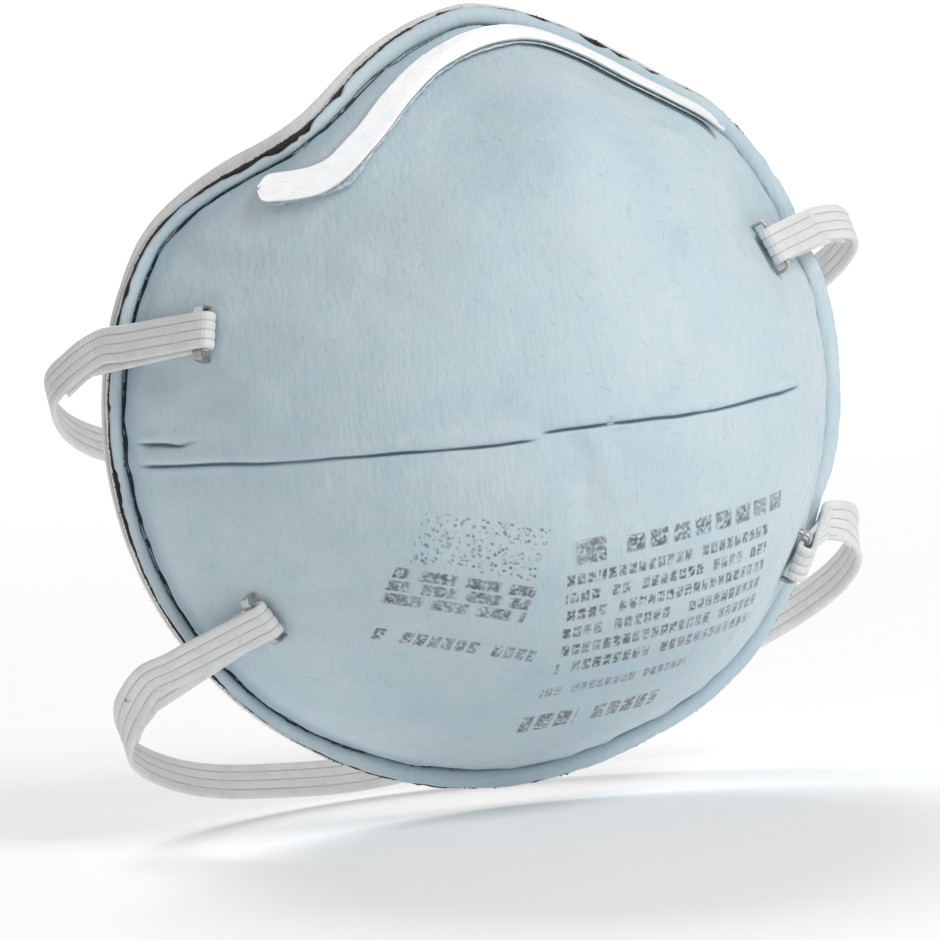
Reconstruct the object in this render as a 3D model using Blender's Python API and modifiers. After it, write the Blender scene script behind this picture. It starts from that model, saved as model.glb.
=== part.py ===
"""Cup-shaped disposable dust mask with two stapled elastic headbands.

The mask stands upright as it is worn: +Z points to the nose bridge, the cup bulges
towards -Y and the face side looks towards +Y. The origin is the centre of the face
opening. All sizes are in metres.
"""

from math import atan2, cos, exp, hypot, pi, radians, sin

import bmesh
import bpy
from mathutils import Matrix, Vector

OBJECT_NAME = "dust_mask"
GAP = 0.0003                    # air left between pieces that touch

# Cup outline, seen from the front
HALF_WIDTH = 0.0625             # rim radius at the cheeks and chin
NOSE_RISE = 0.00175             # how far the nose bridge stands above that radius
NOSE_WAIST = 0.0049             # how far the rim draws in on each side of the nose
FLANGE_WIDTH = 0.0036           # flat sealed edge all round the cup
EDGE_STEP = 0.0002              # each layer's edge stands this far past the one outside it

# Cup shape, seen from the side
CUP_DEPTH = 0.050
CHEEK_BACK = 0.0080             # how far the rim reaches back at the cheeks
CHIN_FORWARD = 0.0030           # how far the chin comes forward of the cheeks
NOSE_FORWARD = 0.0125           # how far the nose bridge comes forward of the cheeks
WAIST_FORWARD = 0.0055          # extra reach forward beside the nose
NOSE_RIDGE = 0.0035
NOSE_PINCH = 0.0035
NOSE_LEAN = 0.0032              # the nose has settled this far to the right of the rim

# Layers from the outside in
COVER_THICKNESS = 0.0005
CARBON_THICKNESS = 0.0005
FILTER_THICKNESS = 0.0006
SHELL_THICKNESS = 0.0009

# Nose clip, its adhesive and the foam behind it
CLIP_WIDTH = 0.0052
CLIP_THICKNESS = 0.0008
CLIP_REACH = 0.0380             # from the middle to each end, measured sideways
CLIP_SHIFT = 0.0022             # the clip's middle sits this far right, on the nose
CLIP_DROP = 0.0200              # how far the ends sit below the middle
CLIP_BELOW_RIM = 0.0068         # clip centre line below the top of the rim
ADHESIVE_THICKNESS = 0.00025
ADHESIVE_MARGIN = 0.0005        # adhesive shows this far past the clip's sides
FOAM_WIDTH = 0.0095
FOAM_THICKNESS = 0.0030
FOAM_REACH = 0.029
FOAM_CLEARANCE = 0.0010         # the foam clears the shell's inner facets by this much
FOAM_BELOW_RIM = 0.0105
SURFACE_CLEARANCE = 0.0006      # strips on the cup clear its facets by this much

# Headbands
BAND_WIDTH = 0.0062
BAND_THICKNESS = 0.0010
TAIL_REACH = 0.012              # loose tail past the rim
TAIL_FIRST_SPAN = 2.5           # first span of the loose tail, in band thicknesses and gaps

# Flat-wire staples
STAPLE_WIRE_WIDTH = 0.0018
STAPLE_WIRE_THICKNESS = 0.0005
CLINCH_LENGTH = 0.0030
STAPLE_TURNS = {                # left and right, in degrees from the nose
    "upper": (72.0, 64.0), "lower": (122.5, 122.5),
}
STAPLE_RADIUS_SHARES = {        # left and right, of the way from the cup's middle to the flange
    "upper": (0.915, 0.860), "lower": (0.915, 0.915),
}

# Headband routes behind the mask, from the left end to the right end, for this half width
ROUTE_HALF_WIDTH = 0.0625
ROUTES = {
    "upper": [
        (-0.0630, 0.0090, 0.0150), (-0.0665, 0.0135, 0.0118), (-0.0680, 0.0190, 0.0078),
        (-0.0630, 0.0275, 0.0020), (-0.0535, 0.0370, -0.0027), (-0.0400, 0.0480, -0.0060),
        (-0.0220, 0.0565, -0.0080), (0.0010, 0.0600, -0.0080), (0.0240, 0.0570, -0.0060),
        (0.0460, 0.0490, -0.0010), (0.0618, 0.0390, 0.0058), (0.0708, 0.0295, 0.0122),
        (0.0728, 0.0205, 0.0180), (0.0690, 0.0130, 0.0212), (0.0622, 0.0080, 0.0218),
    ],
    "lower": [
        (-0.0590, 0.0100, -0.0395), (-0.0612, 0.0140, -0.0450), (-0.0595, 0.0195, -0.0505),
        (-0.0520, 0.0260, -0.0550), (-0.0410, 0.0330, -0.0585), (-0.0270, 0.0400, -0.0605),
        (-0.0100, 0.0450, -0.0615), (0.0080, 0.0480, -0.0600), (0.0260, 0.0475, -0.0565),
        (0.0430, 0.0420, -0.0510), (0.0570, 0.0330, -0.0445), (0.0655, 0.0245, -0.0380),
        (0.0680, 0.0170, -0.0320), (0.0650, 0.0115, -0.0270), (0.0590, 0.0080, -0.0255),
    ],
}
HINGES = {"upper": (0.0080, 0.0184), "lower": (0.0085, -0.0320)}   # back, up
BAND_UP = Vector((0.0, 0.45, 0.90))                                 # across the loops

# Mesh fineness
TURN_STEPS = 48
DOME_RINGS = (0.22, 0.42, 0.60, 0.74, 0.83, 0.89, 0.94, 0.98, 1.0)
FLANGE_RINGS = (1.35, 2.0)

COLOURS = {
    "cover": (0.55, 0.66, 0.71, 1.0, 0.95, 0.0),
    "carbon": (0.03, 0.028, 0.028, 1.0, 0.95, 0.0),
    "filter": (0.85, 0.85, 0.84, 1.0, 0.9, 0.0),
    "shell": (0.82, 0.82, 0.81, 1.0, 0.85, 0.0),
    "clip": (0.80, 0.81, 0.82, 1.0, 0.32, 1.0),
    "adhesive": (0.62, 0.70, 0.73, 1.0, 0.35, 0.0),
    "foam": (0.78, 0.78, 0.76, 1.0, 0.95, 0.0),
    "staple": (0.50, 0.50, 0.50, 1.0, 0.35, 1.0),
    "elastic": (0.80, 0.80, 0.80, 1.0, 0.85, 0.0),
}


# ---------------------------------------------------------------- cup surface

def swell(value, centre, spread):
    """A smooth hump that is 1 at the centre."""
    return exp(-((value - centre) / spread) ** 2)


def ease(low, high, value):
    share = min(1.0, max(0.0, (value - low) / (high - low)))
    return share * share * (3.0 - 2.0 * share)


def rim_radius(turn):
    """Rim radius at a turn from the nose bridge, in radians."""
    side = abs(turn)
    nose = NOSE_RISE * swell(side, 0.0, radians(11))
    waist = NOSE_WAIST * swell(side, radians(35), radians(19))
    return HALF_WIDTH + nose - waist


def rim_back(turn):
    """How far back the flange's outer face lies at a turn from the nose bridge."""
    side = abs(turn)
    nose = NOSE_FORWARD * (1.0 - ease(radians(36), radians(62), side))
    waist = WAIST_FORWARD * swell(side, radians(31), radians(12))
    chin = CHIN_FORWARD * ease(radians(110), radians(160), side)
    return CHEEK_BACK - nose - waist - chin


def foot_radius(turn):
    return rim_radius(turn) - FLANGE_WIDTH


def dome_back(turn, share):
    """Y of the dome at a share of the way from the cup's middle to the flange."""
    side = abs(turn)
    to_nose = max(0.0, cos(side))
    to_chin = max(0.0, -cos(side))
    spread = 2.1 - 0.2 * to_nose + 0.1 * to_chin
    fullness = 0.68 - 0.03 * to_nose - 0.04 * to_chin
    depth = CUP_DEPTH * max(0.0, 1.0 - share ** spread) ** fullness
    ridge = NOSE_RIDGE * swell(side, 0.0, radians(16)) * swell(share, 0.80, 0.22)
    pinch = NOSE_PINCH * swell(side, radians(40), radians(15)) * swell(share, 0.84, 0.15)
    depth += ridge * (1.0 - share ** 6) - pinch * (1.0 - share ** 8)
    return rim_back(turn) * share ** 3 - depth


def nose_lean(turn, share):
    """How far the dome has settled sideways: nothing at the foot, most at the nose."""
    return NOSE_LEAN * max(0.0, cos(turn)) * ease(0.0, 0.18, 1.0 - share) * share


def cup_point(turn, ring, edge_inset=0.0):
    """A point of the outer face: ring 0 to 1 is the dome, 1 to 2 the flange."""
    foot = foot_radius(turn)
    if ring <= 1.0:
        radius = foot * ring
        back = dome_back(turn, ring)
        lean = nose_lean(turn, ring)
    else:
        radius = foot + (FLANGE_WIDTH - edge_inset) * (ring - 1.0)
        back = rim_back(turn)
        lean = 0.0
    return Vector((radius * sin(turn) + lean, back, radius * cos(turn)))


def surface_at(x, z):
    """The dome's outer face straight behind a point of the front view."""
    lean = 0.0
    for _ in range(12):
        turn = atan2(x - lean, z)
        share = min(1.0, hypot(x - lean, z) / foot_radius(turn))
        lean = nose_lean(turn, share)
    return Vector((x, dome_back(turn, share), z))


def surface_normal(x, z):
    step = 0.0004
    across = surface_at(x + step, z) - surface_at(x - step, z)
    upward = surface_at(x, z + step) - surface_at(x, z - step)
    return across.cross(upward).normalized()


# ------------------------------------------------------------- object helpers

def clear_scene():
    for item in list(bpy.data.objects):
        bpy.data.objects.remove(item, do_unlink=True)


def new_collection(name):
    group = bpy.data.collections.new(name)
    bpy.context.scene.collection.children.link(group)
    return group


def make_material(name):
    red, green, blue, alpha, roughness, metallic = COLOURS[name]
    made = bpy.data.materials.new(name)
    made.use_nodes = True
    shader = made.node_tree.nodes["Principled BSDF"]
    shader.inputs["Base Color"].default_value = (red, green, blue, alpha)
    shader.inputs["Roughness"].default_value = roughness
    shader.inputs["Metallic"].default_value = metallic
    return made


def add_object(name, mesh_data, group, material=None, hinge=None):
    """Turn mesh data into an object; with a hinge it hangs from that empty."""
    if hinge:
        bmesh.ops.translate(mesh_data, verts=mesh_data.verts, vec=-hinge.location)
    bmesh.ops.recalc_face_normals(mesh_data, faces=mesh_data.faces)
    mesh = bpy.data.meshes.new(name)
    mesh_data.to_mesh(mesh)
    mesh_data.free()
    made = bpy.data.objects.new(name, mesh)
    group.objects.link(made)
    if material:
        mesh.materials.append(material)
    if hinge:
        made.parent = hinge
    return made


def add_hinge(name, group, place):
    hinge = bpy.data.objects.new(name, None)
    hinge.location = place
    hinge.empty_display_size = 0.01
    group.objects.link(hinge)
    return hinge


def add_wall(item, thickness):
    """Give an open sheet its thickness, inwards from its outer face."""
    wall = item.modifiers.new("wall", "SOLIDIFY")
    wall.thickness = thickness
    wall.offset = -1.0
    wall.use_even_offset = True


# ---------------------------------------------------------------- cup layers

def cup_sheet(inset, edge_inset):
    """The cup's sheet, moved inwards along its own faces by the inset."""
    sheet = bmesh.new()
    turn_of = sheet.verts.layers.float.new("turn")
    ring_of = sheet.verts.layers.float.new("ring")
    bmesh.ops.create_circle(sheet, cap_ends=True, cap_tris=True, segments=TURN_STEPS, radius=1.0)
    for vert in sheet.verts:
        vert[turn_of] = atan2(vert.co.x, vert.co.y)
        vert[ring_of] = DOME_RINGS[0] if vert.co.length > 0.5 else 0.0
    for ring in DOME_RINGS[1:] + FLANGE_RINGS:
        edge = [side for side in sheet.edges if side.is_boundary]
        grown = bmesh.ops.extrude_edge_only(sheet, edges=edge)["geom"]
        for vert in grown:
            if isinstance(vert, bmesh.types.BMVert):
                vert[ring_of] = ring
    for vert in sheet.verts:
        vert.co = cup_point(vert[turn_of], vert[ring_of], edge_inset)
    bmesh.ops.recalc_face_normals(sheet, faces=sheet.faces)
    if sum(face.normal.y for face in sheet.faces) > 0.0:
        bmesh.ops.reverse_faces(sheet, faces=sheet.faces)
    sheet.normal_update()
    moves = [vert.normal * inset * min(1.6, vert.calc_shell_factor()) for vert in sheet.verts]
    for vert, move in zip(sheet.verts, moves):
        vert.co -= move
    return sheet


def add_layer(name, group, material, inset, thickness, edge_inset, cutter):
    sheet = cup_sheet(inset, edge_inset)
    mesh = bpy.data.meshes.new(name)
    sheet.to_mesh(mesh)
    sheet.free()
    layer = bpy.data.objects.new(name, mesh)
    group.objects.link(layer)
    mesh.materials.append(material)
    add_wall(layer, thickness)
    slots = layer.modifiers.new("staple_slots", "BOOLEAN")
    slots.operation = "DIFFERENCE"
    slots.solver = "EXACT"
    slots.object = cutter
    return layer


# ------------------------------------------------------------ strips and bars

def swept_bar(stations):
    """A closed bar whose four corners follow the stations."""
    bar = bmesh.new()
    first, second = stations[0], stations[1]
    bmesh.ops.create_cube(bar, size=1.0)
    order = ((-1, -1), (1, -1), (1, 1), (-1, 1))
    for vert in bar.verts:
        corner = order.index((1 if vert.co.x > 0 else -1, 1 if vert.co.y > 0 else -1))
        vert.co = (second if vert.co.z > 0 else first)[corner]
    last = second
    front = max(bar.faces, key=lambda face: sum(vert.co in last for vert in face.verts))
    for station in stations[2:]:
        front = bmesh.ops.extrude_discrete_faces(bar, faces=[front])["faces"][0]
        for vert in front.verts:
            corner = min(range(4), key=lambda spot: (vert.co - last[spot]).length)
            vert.co = station[corner]
        last = station
    return bar


def section(centre, across, face, width, thickness):
    """Four corners of a flat bar's section."""
    half_across = across * (width / 2)
    half_face = face * (thickness / 2)
    return [centre - half_across - half_face, centre + half_across - half_face,
            centre + half_across + half_face, centre - half_across + half_face]


def directions(points, up):
    """At each point: the direction along the route, across the band and out of its face."""
    found = []
    for spot in range(len(points)):
        before = points[max(spot - 1, 0)]
        after = points[min(spot + 1, len(points) - 1)]
        along = (after - before).normalized()
        across = (up - along * up.dot(along)).normalized()
        found.append((along, across, across.cross(along)))
    return found


def end_in_plane(corners, along, side):
    """Slide a section's corners along the route until they share one x."""
    return [corner + along * ((side - corner.x) / along.x) for corner in corners]


def smooth_route(points, steps):
    """Points on a smooth curve through the route's own points."""
    ends = [points[0] * 2 - points[1]] + points + [points[-1] * 2 - points[-2]]
    curve = []
    for spot in range(1, len(ends) - 2):
        p0, p1, p2, p3 = ends[spot - 1:spot + 3]
        for step in range(steps):
            t = step / steps
            curve.append(0.5 * (p1 * 2 + (p2 - p0) * t + (p0 * 2 - p1 * 5 + p2 * 4 - p3) * t * t
                                + (p1 * 3 - p0 - p2 * 3 + p3) * t ** 3))
    curve.append(points[-1].copy())
    return curve


def surface_strip(line, width, thickness, inset):
    """A strip that follows points (x, z) on the cup, inset from the outer face."""
    stations = []
    places = [surface_at(x, z) for x, z in line]
    for spot, (x, z) in enumerate(line):
        out = surface_normal(x, z)
        before = places[max(spot - 1, 0)]
        after = places[min(spot + 1, len(places) - 1)]
        along = (after - before).normalized()
        across = out.cross(along).normalized()
        centre = places[spot] - out * inset
        stations.append(section(centre, across, out, width, thickness))
    return swept_bar(stations)


def nose_line(below_rim, reach, steps):
    """Centre line over the nose, as (x, z) points: flat on top, flared at both ends."""
    top = rim_radius(0.0) - below_rim
    line = []
    for step in range(steps + 1):
        x = reach * (2.0 * step / steps - 1.0)
        shift = CLIP_SHIFT * (1.0 - (x / reach) ** 2)
        line.append((x + shift, top - CLIP_DROP * ease(0.0, CLIP_REACH, abs(x))))
    return line


# ------------------------------------------------------- headbands and staples

WALL_DEPTH = COVER_THICKNESS + CARBON_THICKNESS + FILTER_THICKNESS + SHELL_THICKNESS + 3 * GAP
TAIL_LIFT = SURFACE_CLEARANCE + BAND_THICKNESS / 2
CROWN_LIFT = TAIL_LIFT + BAND_THICKNESS / 2 + GAP + STAPLE_WIRE_THICKNESS / 2
TOP_LIFT = CROWN_LIFT + STAPLE_WIRE_THICKNESS / 2 + GAP + BAND_THICKNESS / 2
FOLD_REACH = STAPLE_WIRE_WIDTH / 2 + GAP + BAND_THICKNESS / 2
CROWN_HALF = BAND_WIDTH / 2 + GAP + STAPLE_WIRE_THICKNESS / 2
CLINCH_DEPTH = WALL_DEPTH + GAP + STAPLE_WIRE_THICKNESS / 2 + SURFACE_CLEARANCE / 2


class Attachment:
    """Where one headband end is stapled to the cup."""

    def __init__(self, level, side):
        which = 0 if side < 0 else 1
        turn = side * radians(STAPLE_TURNS[level][which])
        radius = foot_radius(turn) * STAPLE_RADIUS_SHARES[level][which]
        self.level = level
        self.side = side
        self.x = radius * sin(turn)
        self.z = radius * cos(turn)
        self.out = surface_normal(self.x, self.z)
        self.place = surface_at(self.x, self.z)
        self.exit = loop_points(level)[0 if side < 0 else -1]
        toward = self.exit - self.place
        self.to_rim = (toward - self.out * toward.dot(self.out)).normalized()
        self.across = self.out.cross(self.to_rim)


def loop_points(level):
    """The loop's route, widened or narrowed with the cup."""
    widen = HALF_WIDTH / ROUTE_HALF_WIDTH
    return [Vector((x * widen, y, z * widen)) for x, y, z in ROUTES[level]]


def loop_solid(level):
    points = smooth_route(loop_points(level), 3)
    frames = directions(points, BAND_UP)
    stations = []
    for point, (along, across, face) in zip(points, frames):
        stations.append(section(point, across, face, BAND_WIDTH, BAND_THICKNESS))
    stations[0] = end_in_plane(stations[0], frames[0][0], points[0].x)
    stations[-1] = end_in_plane(stations[-1], frames[-1][0], points[-1].x)
    return swept_bar(stations)


def tail_solid(level, side):
    """The loose tail past the rim, on the face side of the loop."""
    route = smooth_route(loop_points(level), 4)
    if side > 0:
        route.reverse()
    points = [route[0]]
    reach = 0.0
    first_span = TAIL_FIRST_SPAN * (BAND_THICKNESS + GAP)
    for before, after in zip(route, route[1:]):
        reach += (after - before).length
        if reach > TAIL_REACH:
            break
        if reach > first_span:
            points.append(after)
    frames = directions(points, BAND_UP)
    stations = []
    for point, (along, across, face) in zip(points, frames):
        inner = point + face * (side * (BAND_THICKNESS + GAP))
        stations.append(section(inner, across, face, BAND_WIDTH, BAND_THICKNESS))
    stations[0] = end_in_plane(stations[0], frames[0][0], points[0].x)
    return swept_bar(stations)


def end_solid(spot):
    """The stapled band end: tail under the staple, fold, and the band on its way to the rim."""
    near = spot.place + spot.out * TAIL_LIFT
    far = spot.place + spot.out * TOP_LIFT
    middle = (near + far) / 2
    fold_radius = (TOP_LIFT - TAIL_LIFT) / 2
    stop = spot.exit - Vector((spot.side * GAP, 0.0, 0.0))
    loop = loop_points(spot.level)
    beyond = loop[1] if spot.side < 0 else loop[-2]
    leave = (beyond - spot.exit).normalized()
    face = leave.cross(spot.across).normalized()
    inner_stop = stop - face * (BAND_THICKNESS + GAP)
    points = [inner_stop]
    points += [near + (inner_stop - near) * share for share in (0.6, 0.3)]
    points.append(near)
    for step in range(7):
        angle = pi * step / 6
        points.append(middle - spot.to_rim * (FOLD_REACH + fold_radius * sin(angle))
                      - spot.out * (fold_radius * cos(angle)))
    points.append(far)
    points += [far + (stop - far) * share for share in (0.3, 0.6)]
    points.append(stop)
    frames = directions(points, spot.across)
    stations = []
    for point, (along, across, out) in zip(points, frames):
        stations.append(section(point, across, out, BAND_WIDTH, BAND_THICKNESS))
    stations[0] = end_in_plane(stations[0], frames[0][0], stop.x)
    stations[-1] = end_in_plane(stations[-1], frames[-1][0], stop.x)
    return swept_bar(stations)


def staple_solid(spot):
    """A flat-wire staple: crown over the tail, legs through the wall, ends clinched inside."""
    rise = spot.out * CROWN_LIFT
    sink = spot.out * CLINCH_DEPTH
    reach = spot.across * CROWN_HALF
    tuck = spot.across * (CROWN_HALF - CLINCH_LENGTH)
    crown = spot.place + rise
    foot = spot.place - sink
    corners = [(foot - tuck, 0), (foot - reach, 1), (crown - reach, 1),
               (crown + reach, 1), (foot + reach, 1), (foot + tuck, 0)]
    points = [point for point, bend in corners]
    stations = []
    for place, point in enumerate(points):
        arriving = (point - points[place - 1]).normalized() if place else None
        leaving = (points[place + 1] - point).normalized() if place < 5 else None
        arriving = arriving or leaving
        leaving = leaving or arriving
        along = (arriving + leaving).normalized()
        face = along.cross(spot.to_rim).normalized()
        stretch = 1.0 / max(0.5, along.dot(arriving))
        stations.append(section(point, spot.to_rim, face, STAPLE_WIRE_WIDTH,
                                STAPLE_WIRE_THICKNESS * stretch))
    return swept_bar(stations)


def slot_cutter(spots, group):
    """One cutter with a slot for every staple leg."""
    cutter = bmesh.new()
    size = (STAPLE_WIRE_THICKNESS + 2 * GAP, STAPLE_WIRE_WIDTH + 2 * GAP, 2 * CLINCH_DEPTH + 0.003)
    for spot in spots:
        turn = Matrix((spot.across, spot.to_rim, spot.out)).transposed().to_4x4()
        for way in (-1, 1):
            place = Matrix.Translation(spot.place + spot.across * (way * CROWN_HALF))
            scale = Matrix.Diagonal((*size, 1.0))
            bmesh.ops.create_cube(cutter, size=1.0, matrix=place @ turn @ scale)
    made = add_object("slot_cutter", cutter, group)
    made.hide_render = True
    made.display_type = "WIRE"
    return made


# --------------------------------------------------------------------- build

def build():
    clear_scene()
    parts = new_collection(OBJECT_NAME)
    cutters = new_collection("cutters")
    paint = {name: make_material(name) for name in COLOURS}
    spots = [Attachment(level, side) for level in ("upper", "lower") for side in (-1, 1)]
    cutter = slot_cutter(spots, cutters)

    inset = 0.0
    layers = (("cover_web", "cover", COVER_THICKNESS), ("carbon_web", "carbon", CARBON_THICKNESS),
              ("filter_web", "filter", FILTER_THICKNESS), ("inner_shell", "shell", SHELL_THICKNESS))
    for place, (name, colour, thickness) in enumerate(layers):
        edge_inset = (len(layers) - 1 - place) * EDGE_STEP
        add_layer(name, parts, paint[colour], inset, thickness, edge_inset, cutter)
        inset += thickness + GAP

    clip_line = nose_line(CLIP_BELOW_RIM, CLIP_REACH, 48)
    lift = SURFACE_CLEARANCE + ADHESIVE_THICKNESS / 2
    film = surface_strip(clip_line, CLIP_WIDTH + 2 * ADHESIVE_MARGIN, ADHESIVE_THICKNESS, -lift)
    add_object("nose_clip_adhesive", film, parts, paint["adhesive"])
    lift += ADHESIVE_THICKNESS / 2 + GAP + CLIP_THICKNESS / 2
    strip = surface_strip(clip_line, CLIP_WIDTH, CLIP_THICKNESS, -lift)
    add_object("nose_clip", strip, parts, paint["clip"])
    foam_line = nose_line(FOAM_BELOW_RIM, FOAM_REACH, 20)
    foam_inset = WALL_DEPTH + FOAM_CLEARANCE + FOAM_THICKNESS / 2
    foam = surface_strip(foam_line, FOAM_WIDTH, FOAM_THICKNESS, foam_inset)
    add_object("nose_foam", foam, parts, paint["foam"])

    for spot in spots:
        name = f"{spot.level}_{'left' if spot.side < 0 else 'right'}"
        add_object(f"staple_{name}", staple_solid(spot), parts, paint["staple"])
        add_object(f"band_end_{name}", end_solid(spot), parts, paint["elastic"])

    for level, (back, up) in HINGES.items():
        hinge_place = (0.0, back, up * HALF_WIDTH / ROUTE_HALF_WIDTH)
        hinge = add_hinge(f"{level}_headband_hinge", parts, hinge_place)
        add_object(f"{level}_headband", loop_solid(level), parts, paint["elastic"], hinge)
        for side, side_name in ((-1, "left"), (1, "right")):
            tail = tail_solid(level, side)
            add_object(f"band_tail_{level}_{side_name}", tail, parts, paint["elastic"], hinge)


build()
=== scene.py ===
"""Webs, clip, staples and headbands of a cup-shaped dust mask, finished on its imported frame.

+Z points to the nose bridge, the cup bulges towards -Y and the face side looks towards
+Y. All sizes are in metres.
"""
from math import atan2, cos, hypot, pi, radians, sin

import bmesh
import bpy
import numpy as np
from mathutils import Matrix, Vector


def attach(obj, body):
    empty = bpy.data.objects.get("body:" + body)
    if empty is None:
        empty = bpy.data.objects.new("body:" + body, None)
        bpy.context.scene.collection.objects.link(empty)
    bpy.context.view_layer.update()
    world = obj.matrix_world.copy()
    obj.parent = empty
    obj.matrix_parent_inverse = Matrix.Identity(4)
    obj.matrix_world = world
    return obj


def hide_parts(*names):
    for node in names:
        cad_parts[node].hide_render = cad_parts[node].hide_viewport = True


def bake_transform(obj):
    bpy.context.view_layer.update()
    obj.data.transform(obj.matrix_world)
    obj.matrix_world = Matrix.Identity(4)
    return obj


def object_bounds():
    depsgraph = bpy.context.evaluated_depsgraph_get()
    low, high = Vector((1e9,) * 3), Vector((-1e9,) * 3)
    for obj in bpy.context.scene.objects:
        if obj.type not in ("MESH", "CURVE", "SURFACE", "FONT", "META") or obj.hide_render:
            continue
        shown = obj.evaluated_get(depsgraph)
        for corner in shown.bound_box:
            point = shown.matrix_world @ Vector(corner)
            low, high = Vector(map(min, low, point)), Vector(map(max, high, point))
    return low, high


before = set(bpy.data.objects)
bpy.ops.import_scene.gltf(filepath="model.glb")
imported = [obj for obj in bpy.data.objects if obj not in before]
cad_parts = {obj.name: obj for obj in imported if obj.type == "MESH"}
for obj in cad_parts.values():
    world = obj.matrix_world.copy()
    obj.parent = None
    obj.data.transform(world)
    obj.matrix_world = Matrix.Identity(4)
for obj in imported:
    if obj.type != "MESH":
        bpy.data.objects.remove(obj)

cad_box = [list(corner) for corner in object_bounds()]
MM = 0.001

# Cup outline and depth
HALF_WIDTH = 0.0625
NOSE_RISE = 0.00175
NOSE_WAIST = 0.0049
FLANGE_WIDTH = 0.0036
CUP_DEPTH = 0.050
CHEEK_BACK = 0.0080
CHIN_FORWARD = 0.0030
NOSE_FORWARD = 0.0125
WAIST_FORWARD = 0.0055
NOSE_RIDGE = 0.0035
NOSE_PINCH = 0.0035
NOSE_LEAN = 0.0032

# Webs: how far the outer face lies inside the cup's face, and how thick each web is
WEBS = {"cover": (0.0, 0.0006), "carbon": (0.0008, 0.0004), "filter": (0.0013, 0.0012),
        "shell": (0.0025, 0.0009)}
WALL_DEPTH = 0.0034
NORMAL_STEP = 0.0004            # reach used to find which way the cup faces

# Nose clip and foam
CLIP_WIDTH = 0.0052
CLIP_THICKNESS = 0.0008
CLIP_COURSE = (                    # across and up, from the left end to the right end
    (-0.0387, 0.0375), (-0.0317, 0.0397), (-0.0257, 0.0443), (-0.0180, 0.0505), (-0.0099, 0.0555),
    (-0.0014, 0.0582), (0.0067, 0.0578), (0.0145, 0.0545), (0.0220, 0.0495), (0.0300, 0.0440),
    (0.0372, 0.0390),
)
CLIP_LIFT = 0.00155             # clip's middle above the cup's face
FILM_MARGIN = -0.0001
FOAM_WIDTH = 0.0095
FOAM_THICKNESS = 0.0030
FOAM_REACH = 0.029
FOAM_BELOW_RIM = 0.0105
FOAM_INSET = 0.0059
FOAM_BEND_REACH = 0.0380
FOAM_BEND_SHIFT = 0.0022
FOAM_BEND_DROP = 0.0200

# Headbands
BAND_WIDTH = 0.0062
BAND_THICKNESS = 0.0010
BAND_RIBS = 4
LAYER_GAP = 0.0003              # between the band's two layers where it is folded
TAIL_REACH = 0.0105
BAND_STEP = 0.00034             # between sections of a band
STITCH_LENGTH = 0.00062
BAND_UP = np.array((0.0, 0.45, 0.90))
ROUTES = {
    "upper": [
        (-0.0630, 0.0090, 0.0150), (-0.0665, 0.0135, 0.0118), (-0.0680, 0.0190, 0.0078),
        (-0.0630, 0.0275, 0.0020), (-0.0535, 0.0370, -0.0027), (-0.0400, 0.0480, -0.0060),
        (-0.0220, 0.0565, -0.0080), (0.0010, 0.0600, -0.0080), (0.0240, 0.0570, -0.0060),
        (0.0460, 0.0490, -0.0010), (0.0618, 0.0390, 0.0058), (0.0708, 0.0295, 0.0122),
        (0.0728, 0.0205, 0.0180), (0.0690, 0.0130, 0.0212), (0.0622, 0.0080, 0.0218),
    ],
    "lower": [
        (-0.0590, 0.0100, -0.0395), (-0.0612, 0.0140, -0.0450), (-0.0595, 0.0195, -0.0505),
        (-0.0520, 0.0260, -0.0550), (-0.0410, 0.0330, -0.0585), (-0.0270, 0.0400, -0.0605),
        (-0.0100, 0.0450, -0.0615), (0.0080, 0.0480, -0.0600), (0.0260, 0.0475, -0.0565),
        (0.0430, 0.0420, -0.0510), (0.0570, 0.0330, -0.0445), (0.0655, 0.0245, -0.0380),
        (0.0680, 0.0170, -0.0320), (0.0650, 0.0115, -0.0270), (0.0590, 0.0080, -0.0255),
    ],
}

# Staples
STAPLE_TURNS = {"upper": (72.0, 64.0), "lower": (122.5, 122.5)}
STAPLE_RADIUS_SHARES = {"upper": (0.915, 0.860), "lower": (0.915, 0.915)}
WIRE_WIDTH = 0.0018
WIRE_THICKNESS = 0.0005
CLINCH_LENGTH = 0.0030
TAIL_LIFT = 0.0011
CROWN_LIFT = TAIL_LIFT + BAND_THICKNESS / 2 + 0.0003 + WIRE_THICKNESS / 2
TOP_LIFT = CROWN_LIFT + WIRE_THICKNESS / 2 + 0.0003 + BAND_THICKNESS / 2
CROWN_HALF = BAND_WIDTH / 2 + 0.0012
FOLD_REACH = WIRE_WIDTH / 2 + 0.0008

# Crease across the cup, as front-view points (x, z), in its two overlapping runs
CREASE_RUNS = (
    ((-0.0612, -0.0043), (-0.0484, -0.0038), (-0.0320, -0.0029), (-0.0180, -0.0028), (-0.0125, -0.0025)),
    ((-0.0112, -0.0014), (0.0000, -0.0011), (0.0167, -0.0012), (0.0300, -0.0007), (0.0430, -0.0004)),
)
PLEAT = ((-0.0610, -0.0008), (-0.0568, -0.0007), (-0.0557, -0.0010), (-0.0535, 0.0004))

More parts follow.
